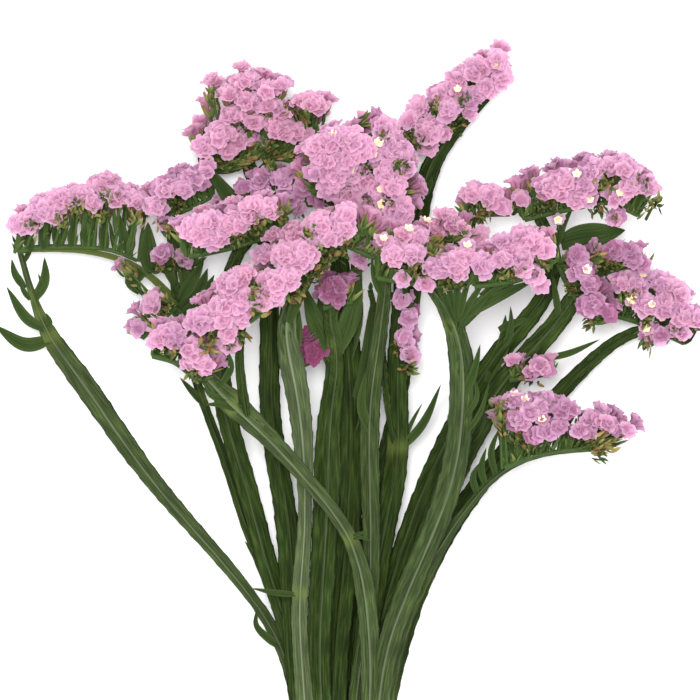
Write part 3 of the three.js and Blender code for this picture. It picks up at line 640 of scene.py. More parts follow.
def stem_route(entry):
    """The whole route of a stem: its cut end, its place in the tie, then the open route to its flowers."""
    x = COLUMN_X[entry["column"]]
    height = entry["row"] * ROW_PITCH
    return [
        (x * CUT_END_SPREAD, CUT_END_Y, STEM_DEPTH / 2 + height),
        (x, TIE_Y - TIE_WIDTH, LOWEST_ROW_Z + height),
        (x, TIE_Y + TIE_WIDTH, LOWEST_ROW_Z + height),
        *entry["route"],
    ]


def notches(s, side, phase):
    """Small teeth along a wing: it widens slowly and steps back, at uneven distances."""
    place = s / 11 + 0.4 * np.sin(s / 23 + phase) + 0.5 * side + phase
    return (place % 1) ** 2.5


def wing_waves(s, side, phase):
    """At each length along a wing: how much wider it is, and how far it waves up and down, as shares."""
    slow = np.sin(s / 11 + phase[5])
    scallop = SCALLOP * np.sin(s / 3.7 + phase[0] + side * phase[1] + 2 * np.sin(s / 19)) * slow
    scallop = scallop + NOTCH * notches(s, side, phase[2])
    quick = np.sin(s / 2.1 + phase[4] * side)
    ruffle = 0.5 * np.sin(s / 4.7 + phase[3] + side + 1.5 * np.sin(s / 23)) + 0.3 * quick
    return scallop, ruffle


def winged_section(ridge):
    """Round the section of a stem: places across, places up, and how much of a ridge each is."""
    upper = np.array(WINGED_SECTION)
    across, up, edge = np.vstack([upper, upper * [-1, -1, 1]]).T
    across = across + ridge * np.sign(up) * np.clip(np.abs(up) - 0.3, 0, 1) * (np.abs(across) < 0.4)
    return across[None], up[None], edge[None]


def winged_tube(shape, route, entry, depths, rng):
    """Adds a winged stem, whose thin wings wave a little along their length, and returns its centre line."""
    length = route_length(smooth_route(route, 60))
    steps = max(12, int(length * STEPS_PER_MM))
    points = calmed(smooth_route(route, steps), int(CALM_REACH * STEPS_PER_MM))
    t = np.linspace(0, 1, steps)
    s = t[:, None] * length
    _, left, above = frames_along(points)
    across, up, edge = winged_section(entry.get("ridge", 0.0))
    phase = rng.uniform(0, ANY_ANGLE, 6)
    scallop, ruffle = wing_waves(s, np.sign(across), phase)
    wing = np.clip(np.abs(across) - 0.45, 0, 1)
    half_width = WING_SPREAD * between(entry["widths"], t)[:, None] / 2
    half_depth = between(depths, t)[:, None] / 2
    sideways = across * half_width * (1 + wing * scallop)
    upwards = up * half_depth + wing * ruffle * half_width * RUFFLE
    roll = ROLL * np.sin(s / 60 + phase[5])
    sideways, upwards = (sideways * np.cos(roll) - upwards * np.sin(roll),
                         sideways * np.sin(roll) + upwards * np.cos(roll))
    surface = offset(points, (sideways, left), (upwards, above))
    near = np.full(steps, entry.get("young", 0.0))
    for joint in entry.get("joints", ()):
        distance = np.linalg.norm(points - np.array(joint), axis=1)
        near = np.maximum(near, np.exp(-(distance / JOINT_REACH) ** 2))
    around = np.linspace(0, 1, across.size)[None]
    values = together(edge, s / 100, around, near[:, None], entry.get("tone", 0.3))
    shape.add_grid(surface[None], values[None], closed=True)
    close_ends(shape, surface, points, values)
    return points


def close_ends(shape, surface, points, values):
    """Closes the two ends of a stem, each with a ring of faces to its middle."""
    for end in (0, -1):
        cap = np.stack([surface[end], np.broadcast_to(points[end], surface[end].shape)])
        if end == 0:
            cap = cap[::-1]
        cap_values = np.stack([values[end], values[end] * [0, 1, 1, 1, 1]])
        shape.add_grid(cap[None], cap_values[None], closed=True)


def blade(shape, route, width, rng, rows=12):
    """Adds a narrow leaf: folded along its midrib, pointed at its tip and waved a little."""
    points = smooth_route(route, rows)
    t = np.linspace(0, 1, rows)[:, None]
    _, left, above = frames_along(points)
    outline = np.clip(np.sin(math.pi * np.clip(t, 0.04, 1) ** 0.75), 0, 1) ** 0.8 + 0.25 * (1 - t) ** 2
    outline[-1] = 0.02
    across = np.linspace(-1, 1, 7)[None]
    phase = rng.uniform(0, ANY_ANGLE)
    sideways = across * outline * width / 2
    wave = LEAF_WAVE * width * np.sin(t * 9 + phase + across * 2) * np.abs(across)
    upwards = np.abs(across) * outline * width * LEAF_FOLD + wave
    surface = offset(points, (sideways, left), (upwards, above))
    length = t * route_length(points) / 100
    values = together(np.abs(across), length, across, 0.0, 0.4)
    shape.add_grid(surface[None], values[None], closed=False)


def perpendicular_pair(directions):
    """Two unit vectors at right angles to each direction and to each other."""
    helper = np.where(np.abs(directions[:, 2:3]) < 0.9, UP, np.array([1.0, 0.0, 0.0]))
    first = unit(np.cross(directions, helper))
    return first, np.cross(directions, first)


def around_directions(places, directions, turn, radius, lift):
    """Points at a radius and a turn round each direction, lifted along it from each place."""
    first, second = perpendicular_pair(directions)
    across, up = radius * np.cos(turn), radius * np.sin(turn)
    return offset(places, (lift, directions), (across, first), (up, second))


def calyces(shape, profile, teeth, flowers, shade, largest, rng):
    """Adds papery funnels: a narrow tube that opens into a wide, pleated and toothed rim."""
    rims, directions, lengths = flowers
    count, columns = len(rims), 2 * teeth
    sizes = rng.uniform(SMALLEST_CALYX, 1, count) * largest
    spread = CALYX_RADIUS * sizes * np.sqrt(1 - directions[:, 2] ** 2)
    rims = lifted(rims, spread * 1.25 + 0.5)
    lengths, sizes = lengths[:, None, None], sizes[:, None, None]
    outward, height = (row[None, :, None] for row in np.array(profile).T)
    opening = np.clip((outward - 0.15) / 0.85, 0, 1)
    turn = full_turn(columns)[None, None]
    spin = rng.uniform(0, ANY_ANGLE, (count, 1, 6))
    lobes = 0.11 * np.cos(5 * turn + spin[..., :1]) + 0.11 * np.cos(2 * turn + spin[..., 1:2])
    tooth = 0.045 * np.where(np.arange(columns) % 2, 1, -1)[None, None] * (opening > 0.97)
    crumple = rng.normal(0, 1, (count, 1, columns))
    crumple = (crumple + np.roll(crumple, 1, axis=2)) / 2
    frill = 0.04 * crumple * opening
    radius = outward * (1 + opening * lobes + tooth + frill) * CALYX_RADIUS * sizes
    pleat = np.cos(9 * turn + spin[..., 3:4])
    waves = 0.13 * np.sin(5 * turn + spin[..., 2:3]) + 0.09 * np.sin(3 * turn + spin[..., 4:5])
    folds = 0.07 * pleat + 0.07 * np.roll(crumple, 5, axis=2)
    below = (height - 1) * lengths / CALYX_RADIUS
    lift = (below + opening**1.3 * (waves + folds)) * CALYX_RADIUS * sizes
    # A calyx's tone is random, moved by the head's shade value: painted shade when positive, painted light
    # when negative.
    tone = shade + (1 - shade) * rng.uniform(0, 0.8, (count, 1, 1))
    turned = turn + spin[..., 5:6]
    surface = around_directions(rims, directions, turned, radius, lift)
    shape.add_grid(surface, together(opening, tone, pleat, crumple), closed=True)
    throats(shape, rims, directions, turned[..., ::3], lengths, sizes, tone)


def throats(shape, rims, directions, turn, lengths, sizes, tone):
    """Closes each funnel a little below its rim."""
    level = np.ones_like(turn)
    radius = np.array(THROAT_RADII)[None, :, None] * CALYX_RADIUS * sizes * level
    lift = np.array(THROAT_HEIGHTS)[None, :, None] * lengths * sizes * level
    surface = around_directions(rims, directions, turn, radius, lift)
    opening = np.array([0.05, 0.25])[None, :, None]
    shape.add_grid(surface, together(opening, tone, 0 * turn, 0.0), closed=True)


def corollas(shape, centres, directions, rng):
    """Adds the small cream flowers that open inside some calyces."""
    count, columns = len(centres), 30
    turn = full_turn(columns)[None, None] + rng.uniform(0, ANY_ANGLE, (count, 1, 1))
    outward = np.array([0.05, 0.35, 0.7, 1.0])[None, :, None]
    petals = 1 - 0.22 * (0.5 - 0.5 * np.cos(5 * turn)) ** 2 * outward
    radius = outward * petals * COROLLA_RADIUS * rng.uniform(0.8, 1.15, (count, 1, 1))
    ruffle = rng.normal(0, 0.22, (count, 1, columns)) + 0.35 * np.cos(5 * turn)
    lift = (1.1 * outward**2 - 0.6 * outward + ruffle * outward) * 1.4
    surface = around_directions(centres, directions, turn, radius, lift)
    reach = np.broadcast_to(outward, surface.shape[:3])
    shape.add_grid(surface, reach[..., None], closed=True)


def scales(shape, bases, directions, lengths, widths, ripeness, rng):
    """Adds pointed bracts: short blades, cupped across and curved along, that ripen to brown at the tip."""
    lengths, widths, ripeness = (row[:, None, None] for row in (lengths, widths, ripeness))
    count = len(bases)
    t = np.array([0.0, 0.35, 0.75, 1.0])[None, :, None]
    outline = np.array([0.5, 1.0, 0.62, 0.02])[None, :, None]
    across = np.array([-1.0, 0.0, 1.0])[None, None]
    first, second = perpendicular_pair(directions)
    turn = rng.uniform(0, ANY_ANGLE, (count, 1))
    wide = np.cos(turn) * first + np.sin(turn) * second
    thick = np.cross(directions, wide)
    forwards = t * lengths * np.ones_like(across)
    sideways = across * outline * widths / 2
    cupped = (1 - across**2) * outline * widths * 0.35 + 0.12 * forwards * t
    surface = offset(bases, (forwards, directions), (sideways, wide), (cupped, thick))
    ripe = np.clip(ripeness + 0.45 * t, 0, 1.4) * np.ones_like(across)
    shape.add_grid(surface, together(ripe, rng.uniform(0, 1, (count, 1, 1))), closed=False)


def stalk_line(entry, count):
    """The line that all the fans of a head grow from: its own route, or one along the head's lower side."""
    if "stalk" in entry:
        return smooth_route(entry["stalk"], count)
    centre = smooth_route(entry["route"], count)
    _, left, _ = frames_along(centre)
    return centre - STALK_LINE * entry["height"] * left


def place_in_head(entry, x, y):
    """For places in plan on a head: their points on it, and where the stalks of what grows there start."""
    centre = smooth_route(entry["route"], HEAD_STEPS)
    _, left, _ = frames_along(centre)
    plan = np.stack([x, y], axis=-1)
    nearest = np.linalg.norm(centre[None, :, :2] - plan[:, None], axis=-1).argmin(axis=1)
    share = ((plan - centre[nearest, :2]) * left[nearest, :2]).sum(axis=1) / entry["height"]
    z = centre[nearest, 2] + FRONT_REACH * entry["depth"] * np.sqrt(1 - np.clip(share, -0.97, 0.97) ** 2)
    return np.column_stack([plan, z]), stalk_line(entry, HEAD_STEPS)[nearest]


def front_fans(entry):
    """The fans on the side of a head that faces up: rims, directions, radii, and where their stalks start.

    The flowers that are open come last, each as a fan of one flower.
    """
    single = [(x, y, OPEN_FAN_RADIUS) for x, y in entry.get("cream", ())]
    x, y, radii = np.array(entry["fans"] + single, float).T
    rims, stalks = place_in_head(entry, x, y)
    heart = stalks - HEART_DEPTH * entry["depth"] * UP
    directions = unit(unit(rims - heart) + 0.25 * UP)
    return rims, directions, radii, stalks


def back_fans(entry, rng):
    """The fans round the rest of a head: along its upper edge and on the side that faces the surface."""
    centre = smooth_route(entry["route"], HEAD_STEPS)
    _, left, _ = frames_along(centre)
    line = stalk_line(entry, HEAD_STEPS)
    height, depth = entry["height"], entry["depth"]
    places = max(2, round(route_length(centre) / BACK_FAN_PITCH))
    rounds = max(2, round(math.pi / 2 * (height + depth) / 2 / BACK_FAN_PITCH * 1.4))
    rims, stalks = [], []
    for i in range(places):
        for j in range(rounds):
            t = (i + 0.5 + 0.3 * (j % 2 * 2 - 1) + rng.uniform(-0.2, 0.2)) / places
            k = int(np.clip(t, 0.03, 0.97) * (HEAD_STEPS - 1))
            angle = math.radians(LOWEST_BACK + BACK_ARC * (j + 0.5) / rounds + rng.uniform(-8, 8))
            inside = np.clip(t, 0.05, 0.95)
            reach = BACK_REACH * (4 * inside * (1 - inside)) ** 0.25
            across = height * math.cos(angle) * left[k] + depth * math.sin(angle) * UP
            rims.append(centre[k] + reach * across)
            stalks.append(line[k])
    rims, stalks = lifted(np.array(rims), LOWEST_RIM), np.array(stalks)
    directions = unit(rims - stalks + rng.normal(0, 1.0, rims.shape))
    low = rims[:, 2] < FLAT_RIM
    directions[low] = unit(directions[low] * [1, 1, 0.2])
    radii = rng.uniform(0.85, 1.1, len(rims)) * min(BACK_FAN_RADIUS, 0.6 * height)
    return rims, directions, radii, stalks


def flowers_of_fan(rim, direction, radius, base, rng):
    """Spreads flowers over one fan: their rims, directions and lengths."""
    count = max(1, round(FAN_COVER * (radius / CALYX_RADIUS) ** 2))
    first, second = (pair[0] for pair in perpendicular_pair(direction[None]))
    k = np.arange(count)
    turn = GOLDEN_ANGLE * k + rng.uniform(0, ANY_ANGLE) + rng.uniform(-0.3, 0.3, count)
    widest = max(radius - 0.62 * CALYX_RADIUS, 0)
    out = (widest * np.sqrt((k + 0.4) / count) * rng.uniform(0.9, 1.1, count))[:, None]
    sideways = out * (np.cos(turn)[:, None] * first + np.sin(turn)[:, None] * second)
    dome = 0.45 * out**2 / max(radius, 1)
    rims = rim + sideways - dome * direction + rng.normal(0, 0.5, (count, 1)) * direction
    stem = rims - (base + 0.2 * sideways)
    lengths = np.minimum(np.linalg.norm(stem, axis=1), CALYX_LENGTH)
    return rims, unit(unit(stem) + rng.normal(0, 0.1, (count, 3))), lengths


def flower_head(name, entry, seed, materials):
    """Makes the calyces, the bracts and the open flowers of one head, as separate pieces."""
    rng = np.random.default_rng(seed)
    pink, green = Shape(), Shape()
    front, back = front_fans(entry), back_fans(entry, rng)
    for fans, profile, teeth, rings, largest, leafy in (
            (front, CALYX_PROFILE, CALYX_TEETH, BRACT_RINGS, LARGEST_CALYX, True),
            (back, BACK_CALYX_PROFILE, BACK_CALYX_TEETH, BRACT_RINGS[:1], LARGEST_BACK_CALYX,
             entry.get("leafy_back", True))):
        rims, directions, radii, stalks = fans
        reach = np.clip(0.8 * np.linalg.norm(rims - stalks, axis=1), SHORTEST_REACH, FAN_REACH)
        bases = lifted(rims - reach[:, None] * directions, LOWEST_BASE)
        made = [flowers_of_fan(*fan, rng) for fan in zip(rims, directions, radii, bases)]
        flowers = [np.concatenate(part) for part in zip(*made)]
        calyces(pink, profile, teeth, flowers, entry.get("shade", 0.0), largest, rng)
        fan_stalks(green, stalks, bases, rng)
        bract_rings(green, rings, bases, directions, radii, rng)
        if leafy:
            stalk_leaves(green, stalks, bases, radii, rng)
    rachis(green, entry, rng)
    if "tufts" in entry:
        tufts(green, entry, rng)
    calyx_piece = pink.to_object(name.replace("flowers", "calyces"), materials["calyx"], CALYX_NUMBERS)
    attach(calyx_piece, name)
    bract_piece = green.to_object(name.replace("flowers", "bracts"), materials["bract"], ("ripe", "tone"))
    attach(bract_piece, None)
    if "cream" in entry:
        open_flowers(name, entry, materials["corolla"], rng)


def open_flowers(name, entry, material, rng):
    """Makes the cream flowers of one head, each at one of its single front fans."""
    count = len(entry["cream"])
    rims, directions, _, _ = front_fans(entry)
    cream = Shape()
    corollas(cream, rims[-count:], directions[-count:], rng)
    piece = cream.to_object(name.replace("flowers", "corollas"), material, ("reach",))
    attach(piece, None)


def rachis(green, entry, rng):
    """Adds the stalk that all the fans of a head grow from, with a comb of small bracts along it."""
    line = stalk_line(entry, 40)[2:-2]
    tube(green, line, RACHIS_RADII, 8, (-0.05, 0.7))
    count = int(route_length(line) / entry.get("comb", COMB_PITCH))
    comb = smooth_route(line, count)
    places = lifted(comb + rng.normal(0, 0.7, (count, 3)), LOWEST_STALK)
    along, left, _ = frames_along(comb)
    growing = unit(left + 0.3 * UP + 0.35 * along + rng.normal(0, 0.35, (count, 3)))
    lengths = rng.uniform(*COMB_BRACT, count)
    scales(green, places, growing, lengths, lengths * SLENDER, rng.uniform(-0.3, 0.2, count), rng)


def fan_stalks(green, stalks, bases, rng):
    """Adds the stalk of each fan."""
    for start, base in zip(stalks, bases):
        bend = (start + base) / 2 + rng.normal(0, 0.6, 3)
        line = lifted(smooth_route([start, bend, base], 5), LOWEST_STALK)
        tube(green, line, FAN_STALK_RADII, 5, (0.0, rng.uniform(0, 1)))


def bract_rings(green, rings, bases, directions, radii, rng):
    """Adds the cup of bracts under the flowers of each fan, wider under wider fans."""
    count = len(bases)
    first, second = perpendicular_pair(directions)
    spread = (radii / 12)[:, None]
    sizes = np.clip(radii / 7, 0.5, 1)
    for ring, (bracts, start, angle, shortest, longest) in enumerate(rings):
        for k in range(bracts):
            turn = (k + 0.5 * (ring % 2)) * 2 * math.pi / bracts + rng.uniform(-0.3, 0.3, count)
            sideways = np.cos(turn)[:, None] * first + np.sin(turn)[:, None] * second
            tilt = (angle + rng.uniform(-0.15, 0.15, count))[:, None]
            growing = unit(directions + tilt * spread * sideways)
            lengths = sizes * rng.uniform(shortest, longest, count)
            places = bases + start * directions + 0.9 * sideways
            ripeness = rng.uniform(-0.15, 0.55, count)
            tips = places[:, 2] + growing[:, 2] * lengths
            growing[:, 2] = np.where(tips < LOWEST_TIP, np.abs(growing[:, 2]) * 0.1, growing[:, 2])
            scales(green, places, growing, lengths, lengths * RING_BRACT_WIDTH, ripeness, rng)


def stalk_leaves(green, stalks, bases, radii, rng):
    """Adds longer bracts up the stalk of each fan, and two like leaves."""
    count = len(bases)
    along = unit(bases - stalks)
    for share in STALK_BRACTS:
        places = stalks + share * (bases - stalks)
        growing = unit(along + rng.normal(0, 0.3, (count, 3)))
        lengths = rng.uniform(*STALK_BRACT, count)
        scales(green, places, growing, lengths, lengths * SLENDER, rng.uniform(-0.5, 0.1, count), rng)
    lengths = np.clip(np.linalg.norm(bases - stalks, axis=1) * 1.1, *STALK_LEAF)
    for share in STALK_LEAVES:
        places = stalks + share * (bases - stalks)
        growing = unit(along + rng.normal(0, 0.12, (count, 3)))
        widths = rng.uniform(*STALK_LEAF_WIDTH, count) * np.clip(radii / 12, 1, 1.3)
        scales(green, places, growing, lengths, widths, rng.uniform(-0.6, -0.3, count), rng)


def tufts(green, entry, rng):
    """Adds spots of crowded scales that show between the fans."""
    x, y = np.array(entry["tufts"], float).T
    tips, stalks = place_in_head(entry, x, y)
    for tip, stalk in zip(tips, stalks):
        direction = unit(unit(tip - stalk) + 0.4 * UP)
        line = smooth_route([stalk, (stalk + tip) / 2 - UP, tip - 3 * direction], 4)
        tube(green, line, TUFT_STALK_RADII, 5, (0.0, 0.6))
        growing = unit(direction + rng.normal(0, 0.3, (TUFT_SCALES, 3)))
        lengths = rng.uniform(*TUFT_BRACT, TUFT_SCALES)
        bases = lifted(tip - 5 * direction + rng.normal(0, 2.2, (TUFT_SCALES, 3)), LOWEST_STALK)
        ripeness = rng.uniform(-0.3, 0.6, TUFT_SCALES)
        scales(green, bases, growing, lengths, lengths * TUFT_BRACT_WIDTH, ripeness, rng)


class Nodes:
    """Short names for the node calls of one material."""

    def __init__(self, name):
        self.material = bpy.data.materials.new(name)
        self.material.use_nodes = True
        self.tree = self.material.node_tree
        self.tree.nodes.clear()
        self.output = self.tree.nodes.new("ShaderNodeOutputMaterial")

    def new(self, kind, inputs=None, **settings):
        """A new node. Its inputs are linked to outputs, or set to numbers or colours."""
        node = self.tree.nodes.new(kind)
        for key, value in settings.items():
            setattr(node, key, value)
        for key, value in (inputs or {}).items():
            socket = node.inputs[key]
            if isinstance(value, bpy.types.NodeSocket):
                self.tree.links.new(value, socket)
            else:
                socket.default_value = (*value, 1.0) if isinstance(value, tuple) else value
        return node

    def number(self, name):
        """One of the numbers at the corners of the mesh."""
        return self.new("ShaderNodeAttribute", attribute_name=name, attribute_type="GEOMETRY").outputs["Fac"]

    def noise(self, scale, detail=3.0, place=None):
        """Fractal noise, fixed to the piece where no other place is given."""
        if place is None:
            place = self.new("ShaderNodeTexCoord").outputs["Object"]
        inputs = {"Vector": place, "Scale": scale, "Detail": detail}
        return self.new("ShaderNodeTexNoise", inputs).outputs["Fac"]

    def ramp(self, source, stops):
        """Colours along a number, as (place, colour) stops."""
        node = self.new("ShaderNodeValToRGB", {"Fac": source})
        elements = node.color_ramp.elements
        stops = list(stops)
        while len(elements) < len(stops):
            elements.new(0.5)
        for element, (place, colour) in zip(elements, stops):
            element.position = place
            element.color = (*colour, 1.0)
        return node.outputs["Color"]

    def mix(self, factor, first, second, blend="MIX"):
        """Two colours blended by a factor."""
        inputs = {0: factor, 6: first, 7: second}
        return self.new("ShaderNodeMix", inputs, data_type="RGBA", blend_type=blend).outputs[2]

    def tint(self, factor, colour, by):
        """A colour multiplied by another, as far as the factor says."""
        return self.mix(factor, colour, by, "MULTIPLY")

    def maths(self, operation, first, second, clamp=False):
        """A sum, a product or a power of two numbers."""
        inputs = {0: first, 1: second}
        return self.new("ShaderNodeMath", inputs, operation=operation, use_clamp=clamp).outputs[0]

    def add(self, first, second):
        """The sum of two numbers."""
        return self.maths("ADD", first, second)

    def times(self, first, second, clamp=False):
        """The product of two numbers."""
        return self.maths("MULTIPLY", first, second, clamp)

    def principled(self, colour, **inputs):
        """The main shader, with its colour and its roughness, specular, sheen or normal."""
        names = {"roughness": "Roughness", "specular": "Specular IOR Level", "sheen": "Sheen Weight",
                 "normal": "Normal"}
        inputs = {names[key]: value for key, value in inputs.items()}
        return self.new("ShaderNodeBsdfPrincipled", {"Base Color": colour, **inputs})

    def bump(self, height, strength, distance):
        """A fine relief."""
        inputs = {"Height": height, "Strength": strength, "Distance": distance}
        return self.new("ShaderNodeBump", inputs).outputs["Normal"]

    def finished(self, shader):
        """The material, with a shader as its surface."""
        self.tree.links.new(shader.outputs[0], self.output.inputs["Surface"])
        return self.material


def grey(value):
    """A colour with three equal parts."""
    return value, value, value


def srgb(red, green, blue):
    """A linear colour from 0 to 255 display values."""
    def linear(value):
        value /= 255
        return value / 12.92 if value <= 0.04045 else ((value + 0.055) / 1.055) ** 2.4
    return tuple(linear(v) for v in (red, green, blue))


def calyx_material():
    """Thin dry paper: rims paler, partly their own colour and partly painted highlight, a throat deepened as
    painted shade, fine pleats, and some light through it.
    """
    n = Nodes("papery_calyx")
    reach, tone, pleat, crumple = (n.number(name) for name in CALYX_NUMBERS)
    # Deeper towards the base and throat, as painted shade in the funnel, and paler at the rims, partly their
    # own colour and partly painted highlight.
    places = (0.0, 0.12, 0.5, 0.9, 1.0)
    warm = n.ramp(reach, zip(places, (srgb(190, 112, 150), srgb(212, 142, 178), srgb(225, 166, 196),
                                      srgb(231, 181, 208), srgb(238, 202, 220))))
    cool = n.ramp(reach, zip(places, (srgb(178, 112, 156), srgb(200, 142, 182), srgb(213, 167, 200),
                                      srgb(224, 180, 214), srgb(234, 202, 226))))
    # Tone picks warm or cool pink at random. The deep magenta at the highest tones is mostly painted shade,
    # given to heads with a shade value, with a little at random elsewhere.
    colour = n.mix(n.ramp(tone, [(0.35, grey(0.0)), (0.75, grey(1.0))]), warm, cool)
    colour = n.mix(n.ramp(tone, [(0.62, grey(0.0)), (1.0, grey(0.9))]), colour, srgb(150, 60, 108))
    blotch = n.ramp(n.noise(220), [(0.3, (0.84, 0.80, 0.84)), (0.7, grey(1.0))])
    colour = n.tint(0.6, colour, blotch)
    fold = n.add(n.times(pleat, 0.5), n.times(crumple, 0.2))
    colour = n.tint(0.7, colour, n.ramp(fold, [(0.0, grey(1.0)), (0.7, (0.95, 0.87, 0.93))]))
    relief = n.bump(n.add(n.times(pleat, 0.4), n.noise(900, 4)), 0.3, 0.0003)
    paper = n.principled(colour, roughness=0.75, specular=0.2, sheen=0.3, normal=relief)
    through = n.new("ShaderNodeBsdfTranslucent", {"Color": colour})
    return n.finished(n.new("ShaderNodeMixShader", {0: 0.5, 1: paper.outputs[0], 2: through.outputs[0]}))


def corolla_material():
    """Cream petals with a yellow heart."""
    n = Nodes("cream_corolla")
    petals = [(0.0, srgb(200, 184, 110)), (0.4, srgb(228, 208, 168)), (1.0, srgb(236, 220, 196))]
    blotch = n.ramp(n.noise(500), [(0.3, (0.85, 0.85, 0.8)), (0.7, grey(1.0))])
    colour = n.tint(0.3, n.ramp(n.number("reach"), petals), blotch)
    relief = n.bump(n.noise(1500), 0.2, 0.0002)
    return n.finished(n.principled(colour, roughness=0.6, sheen=0.1, normal=relief))


def bract_material():
    """Green scales that ripen to olive and then to brown at their tips."""
    n = Nodes("green_brown_bract")
    ripe = n.add(n.number("ripe"), n.times(n.noise(300), 0.2))
    colour = n.ramp(ripe, [(0.0, srgb(46, 66, 28)), (0.3, srgb(80, 100, 50)), (0.55, srgb(124, 128, 74)),
                           (0.8, srgb(142, 124, 80)), (1.0, srgb(140, 86, 62))])
    colour = n.tint(0.8, colour, n.ramp(n.number("tone"), [(0.0, grey(0.7)), (1.0, (1.2, 1.2, 1.15))]))
    relief = n.bump(n.noise(1100, 4), 0.4, 0.0003)
    return n.finished(n.principled(colour, roughness=0.6, specular=0.12, normal=relief))


def streaks(n, around, length, fine, slow, detail):
    """Noise drawn out along a stem: fine bands across it, slow changes along it."""
    place = n.new("ShaderNodeCombineXYZ", {0: n.times(around, fine), 1: n.times(length, slow)})
    return n.noise(4.0, detail, place.outputs[0])


def green_material(name, dark, middle, light, pale):
    """Stem or leaf green: streaks along the length, paler joints, ridges and wing edges paled partly by a
    waxy grey coat and partly by painted highlight, and painted light and shade by tone.
    """
    n = Nodes(name)
    edge, length, around, joint, tone = (n.number(number) for number in STEM_NUMBERS)
    fine = streaks(n, around, length, 9.0, 1.6, 5.0)
    broad = streaks(n, around, length, 2.0, 0.7, 1.0)
    colour = n.ramp(fine, [(0.25, dark), (0.5, middle), (0.8, light)])
    colour = n.tint(0.8, colour, n.ramp(broad, [(0.38, (0.68, 0.7, 0.66)), (0.62, (1.3, 1.26, 1.16))]))
    # High tones add pale streaks, partly the stem's own paler colour and partly painted light on stems that
    # lie high in front.
    pale_and_lit_streaks = n.ramp(tone, [(0.35, grey(0.0)), (0.9, grey(0.3))])
    colour = n.mix(n.times(pale_and_lit_streaks, fine), colour, pale)
    colour = n.tint(0.7, colour, n.ramp(n.noise(28), [(0.35, (0.78, 0.8, 0.76)), (0.68, (1.15, 1.1, 1.05))]))
    # Ridges and wing edges turn pale, partly a waxy grey coat and partly painted highlight, strongest on
    # stems with a high tone.
    strength = n.ramp(tone, [(0.15, grey(0.08)), (0.9, grey(0.85))])
    bloom_and_highlight = n.times(n.maths("POWER", edge, 1.6), strength, clamp=True)
    colour = n.mix(n.times(bloom_and_highlight, n.add(broad, 0.2), clamp=True), colour, pale)
    # Tone darkens the green below its top end: painted shade on stems that lie low or behind others.
    colour = n.tint(1.0, colour, n.ramp(tone, [(0.0, grey(0.72)), (1.0, grey(1.05))]))
    colour = n.mix(n.times(joint, 0.5, clamp=True), colour, srgb(96, 108, 52))
    rough = n.ramp(fine, [(0.3, grey(0.5)), (0.7, grey(0.7))])
    relief = n.bump(n.add(fine, n.times(n.noise(700), 0.35)), 0.6, 0.0006)
    return n.finished(n.principled(colour, roughness=rough, specular=0.05, normal=relief))


def twine_material():
    """Rough jute, straw brown."""
    n = Nodes("jute_twine")
    straw = [(0.3, srgb(128, 98, 58)), (0.55, srgb(178, 146, 96)), (0.8, srgb(214, 188, 138))]
    colour = n.ramp(n.noise(700, 5), straw)
    relief = n.bump(n.noise(2200, 4), 0.6, 0.0004)
    return n.finished(n.principled(colour, roughness=0.9, specular=0.15, sheen=0.3, normal=relief))


def floor_material():
    """An almost white surface."""
    n = Nodes("pale_floor")
    colour = n.ramp(n.noise(6, 2), [(0.3, grey(0.93)), (0.7, grey(0.95))])
    return n.finished(n.principled(colour, roughness=0.9, specular=0.1))


def attach(piece, node):
    """A finished piece rides on the one body, and stands for its CAD node if it has one."""
    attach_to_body(piece, "root")
    if node:
        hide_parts(node)


def sprouts(shape, points, upper, reach, rng):
    """Adds small pointed leaves along the upper part of a stem, left and right in turn."""
    points = points[-max(4, round(upper / route_length(points) * len(points))):]
    along, left, above = frames_along(points)
    count = int(route_length(points) / SPROUT_PITCH)
    for k, place in enumerate(np.linspace(0, len(points) - 1, count).astype(int)):
        side = left[place] * (1 if k % 2 else -1)
        heading = unit(along[place] + rng.uniform(0.15, 0.4) * side + rng.uniform(0.1, 0.4) * above[place])
        length = reach * rng.uniform(0.7, 1.2)
        start = points[place]
        middle = start + 0.5 * length * unit(heading + 0.15 * side)
        blade(shape, [start, middle, start + length * heading], rng.uniform(1.6, 2.8), rng, rows=6)


def make_stem(name, route, entry, depths, sprout, rng, materials):
    """Makes one stem or branch with its small leaves, as two pieces."""
    stem, leaves = Shape(), Shape()
    points = winged_tube(stem, route, entry, depths, rng)
    attach(stem.to_object("winged_" + name, materials["stem"], STEM_NUMBERS), name)
    sprouts(leaves, points, entry.get("sprouting", SPROUTING), sprout, rng)
    for width, *leaf_route in SMALL_LEAVES.get(name, ()):
        blade(leaves, leaf_route, width, rng)
    attach(leaves.to_object("small_leaves_" + name, materials["leaf"], STEM_NUMBERS), None)


def make_stems(materials):
    """Makes all the stems, then the branches."""
    rng = np.random.default_rng(STEM_SEED)
    for name, entry in STEMS.items():
        depths = (STEM_DEPTH, STEM_DEPTH, STEM_DEPTH_TOP)
        make_stem(name, stem_route(entry), entry, depths, STEM_SPROUT, rng, materials)
    for name, entry in BRANCHES.items():
        depths = [0.8 * width for width in entry["widths"]]
        make_stem(name, entry["route"], entry, depths, BRANCH_SPROUT, rng, materials)


def make_leaves(material):
    """Makes the leaves that have a CAD node of their own."""
    rng = np.random.default_rng(LEAF_SEED)
    for name, (width, *route) in LEAVES.items():
        shape = Shape()
        blade(shape, route, width, rng, rows=20)
        piece = shape.to_object(name.replace("leaf", "leaf_blade"), material, STEM_NUMBERS)
        attach(piece, name)


def make_flowers():
    """Makes all the heads, each with a seed of its own."""
    materials = {"calyx": calyx_material(), "corolla": corolla_material(), "bract": bract_material()}
    for seed, (name, entry) in enumerate(FLOWERS.items(), FIRST_HEAD_SEED):
        flower_head(name, entry, seed, materials)


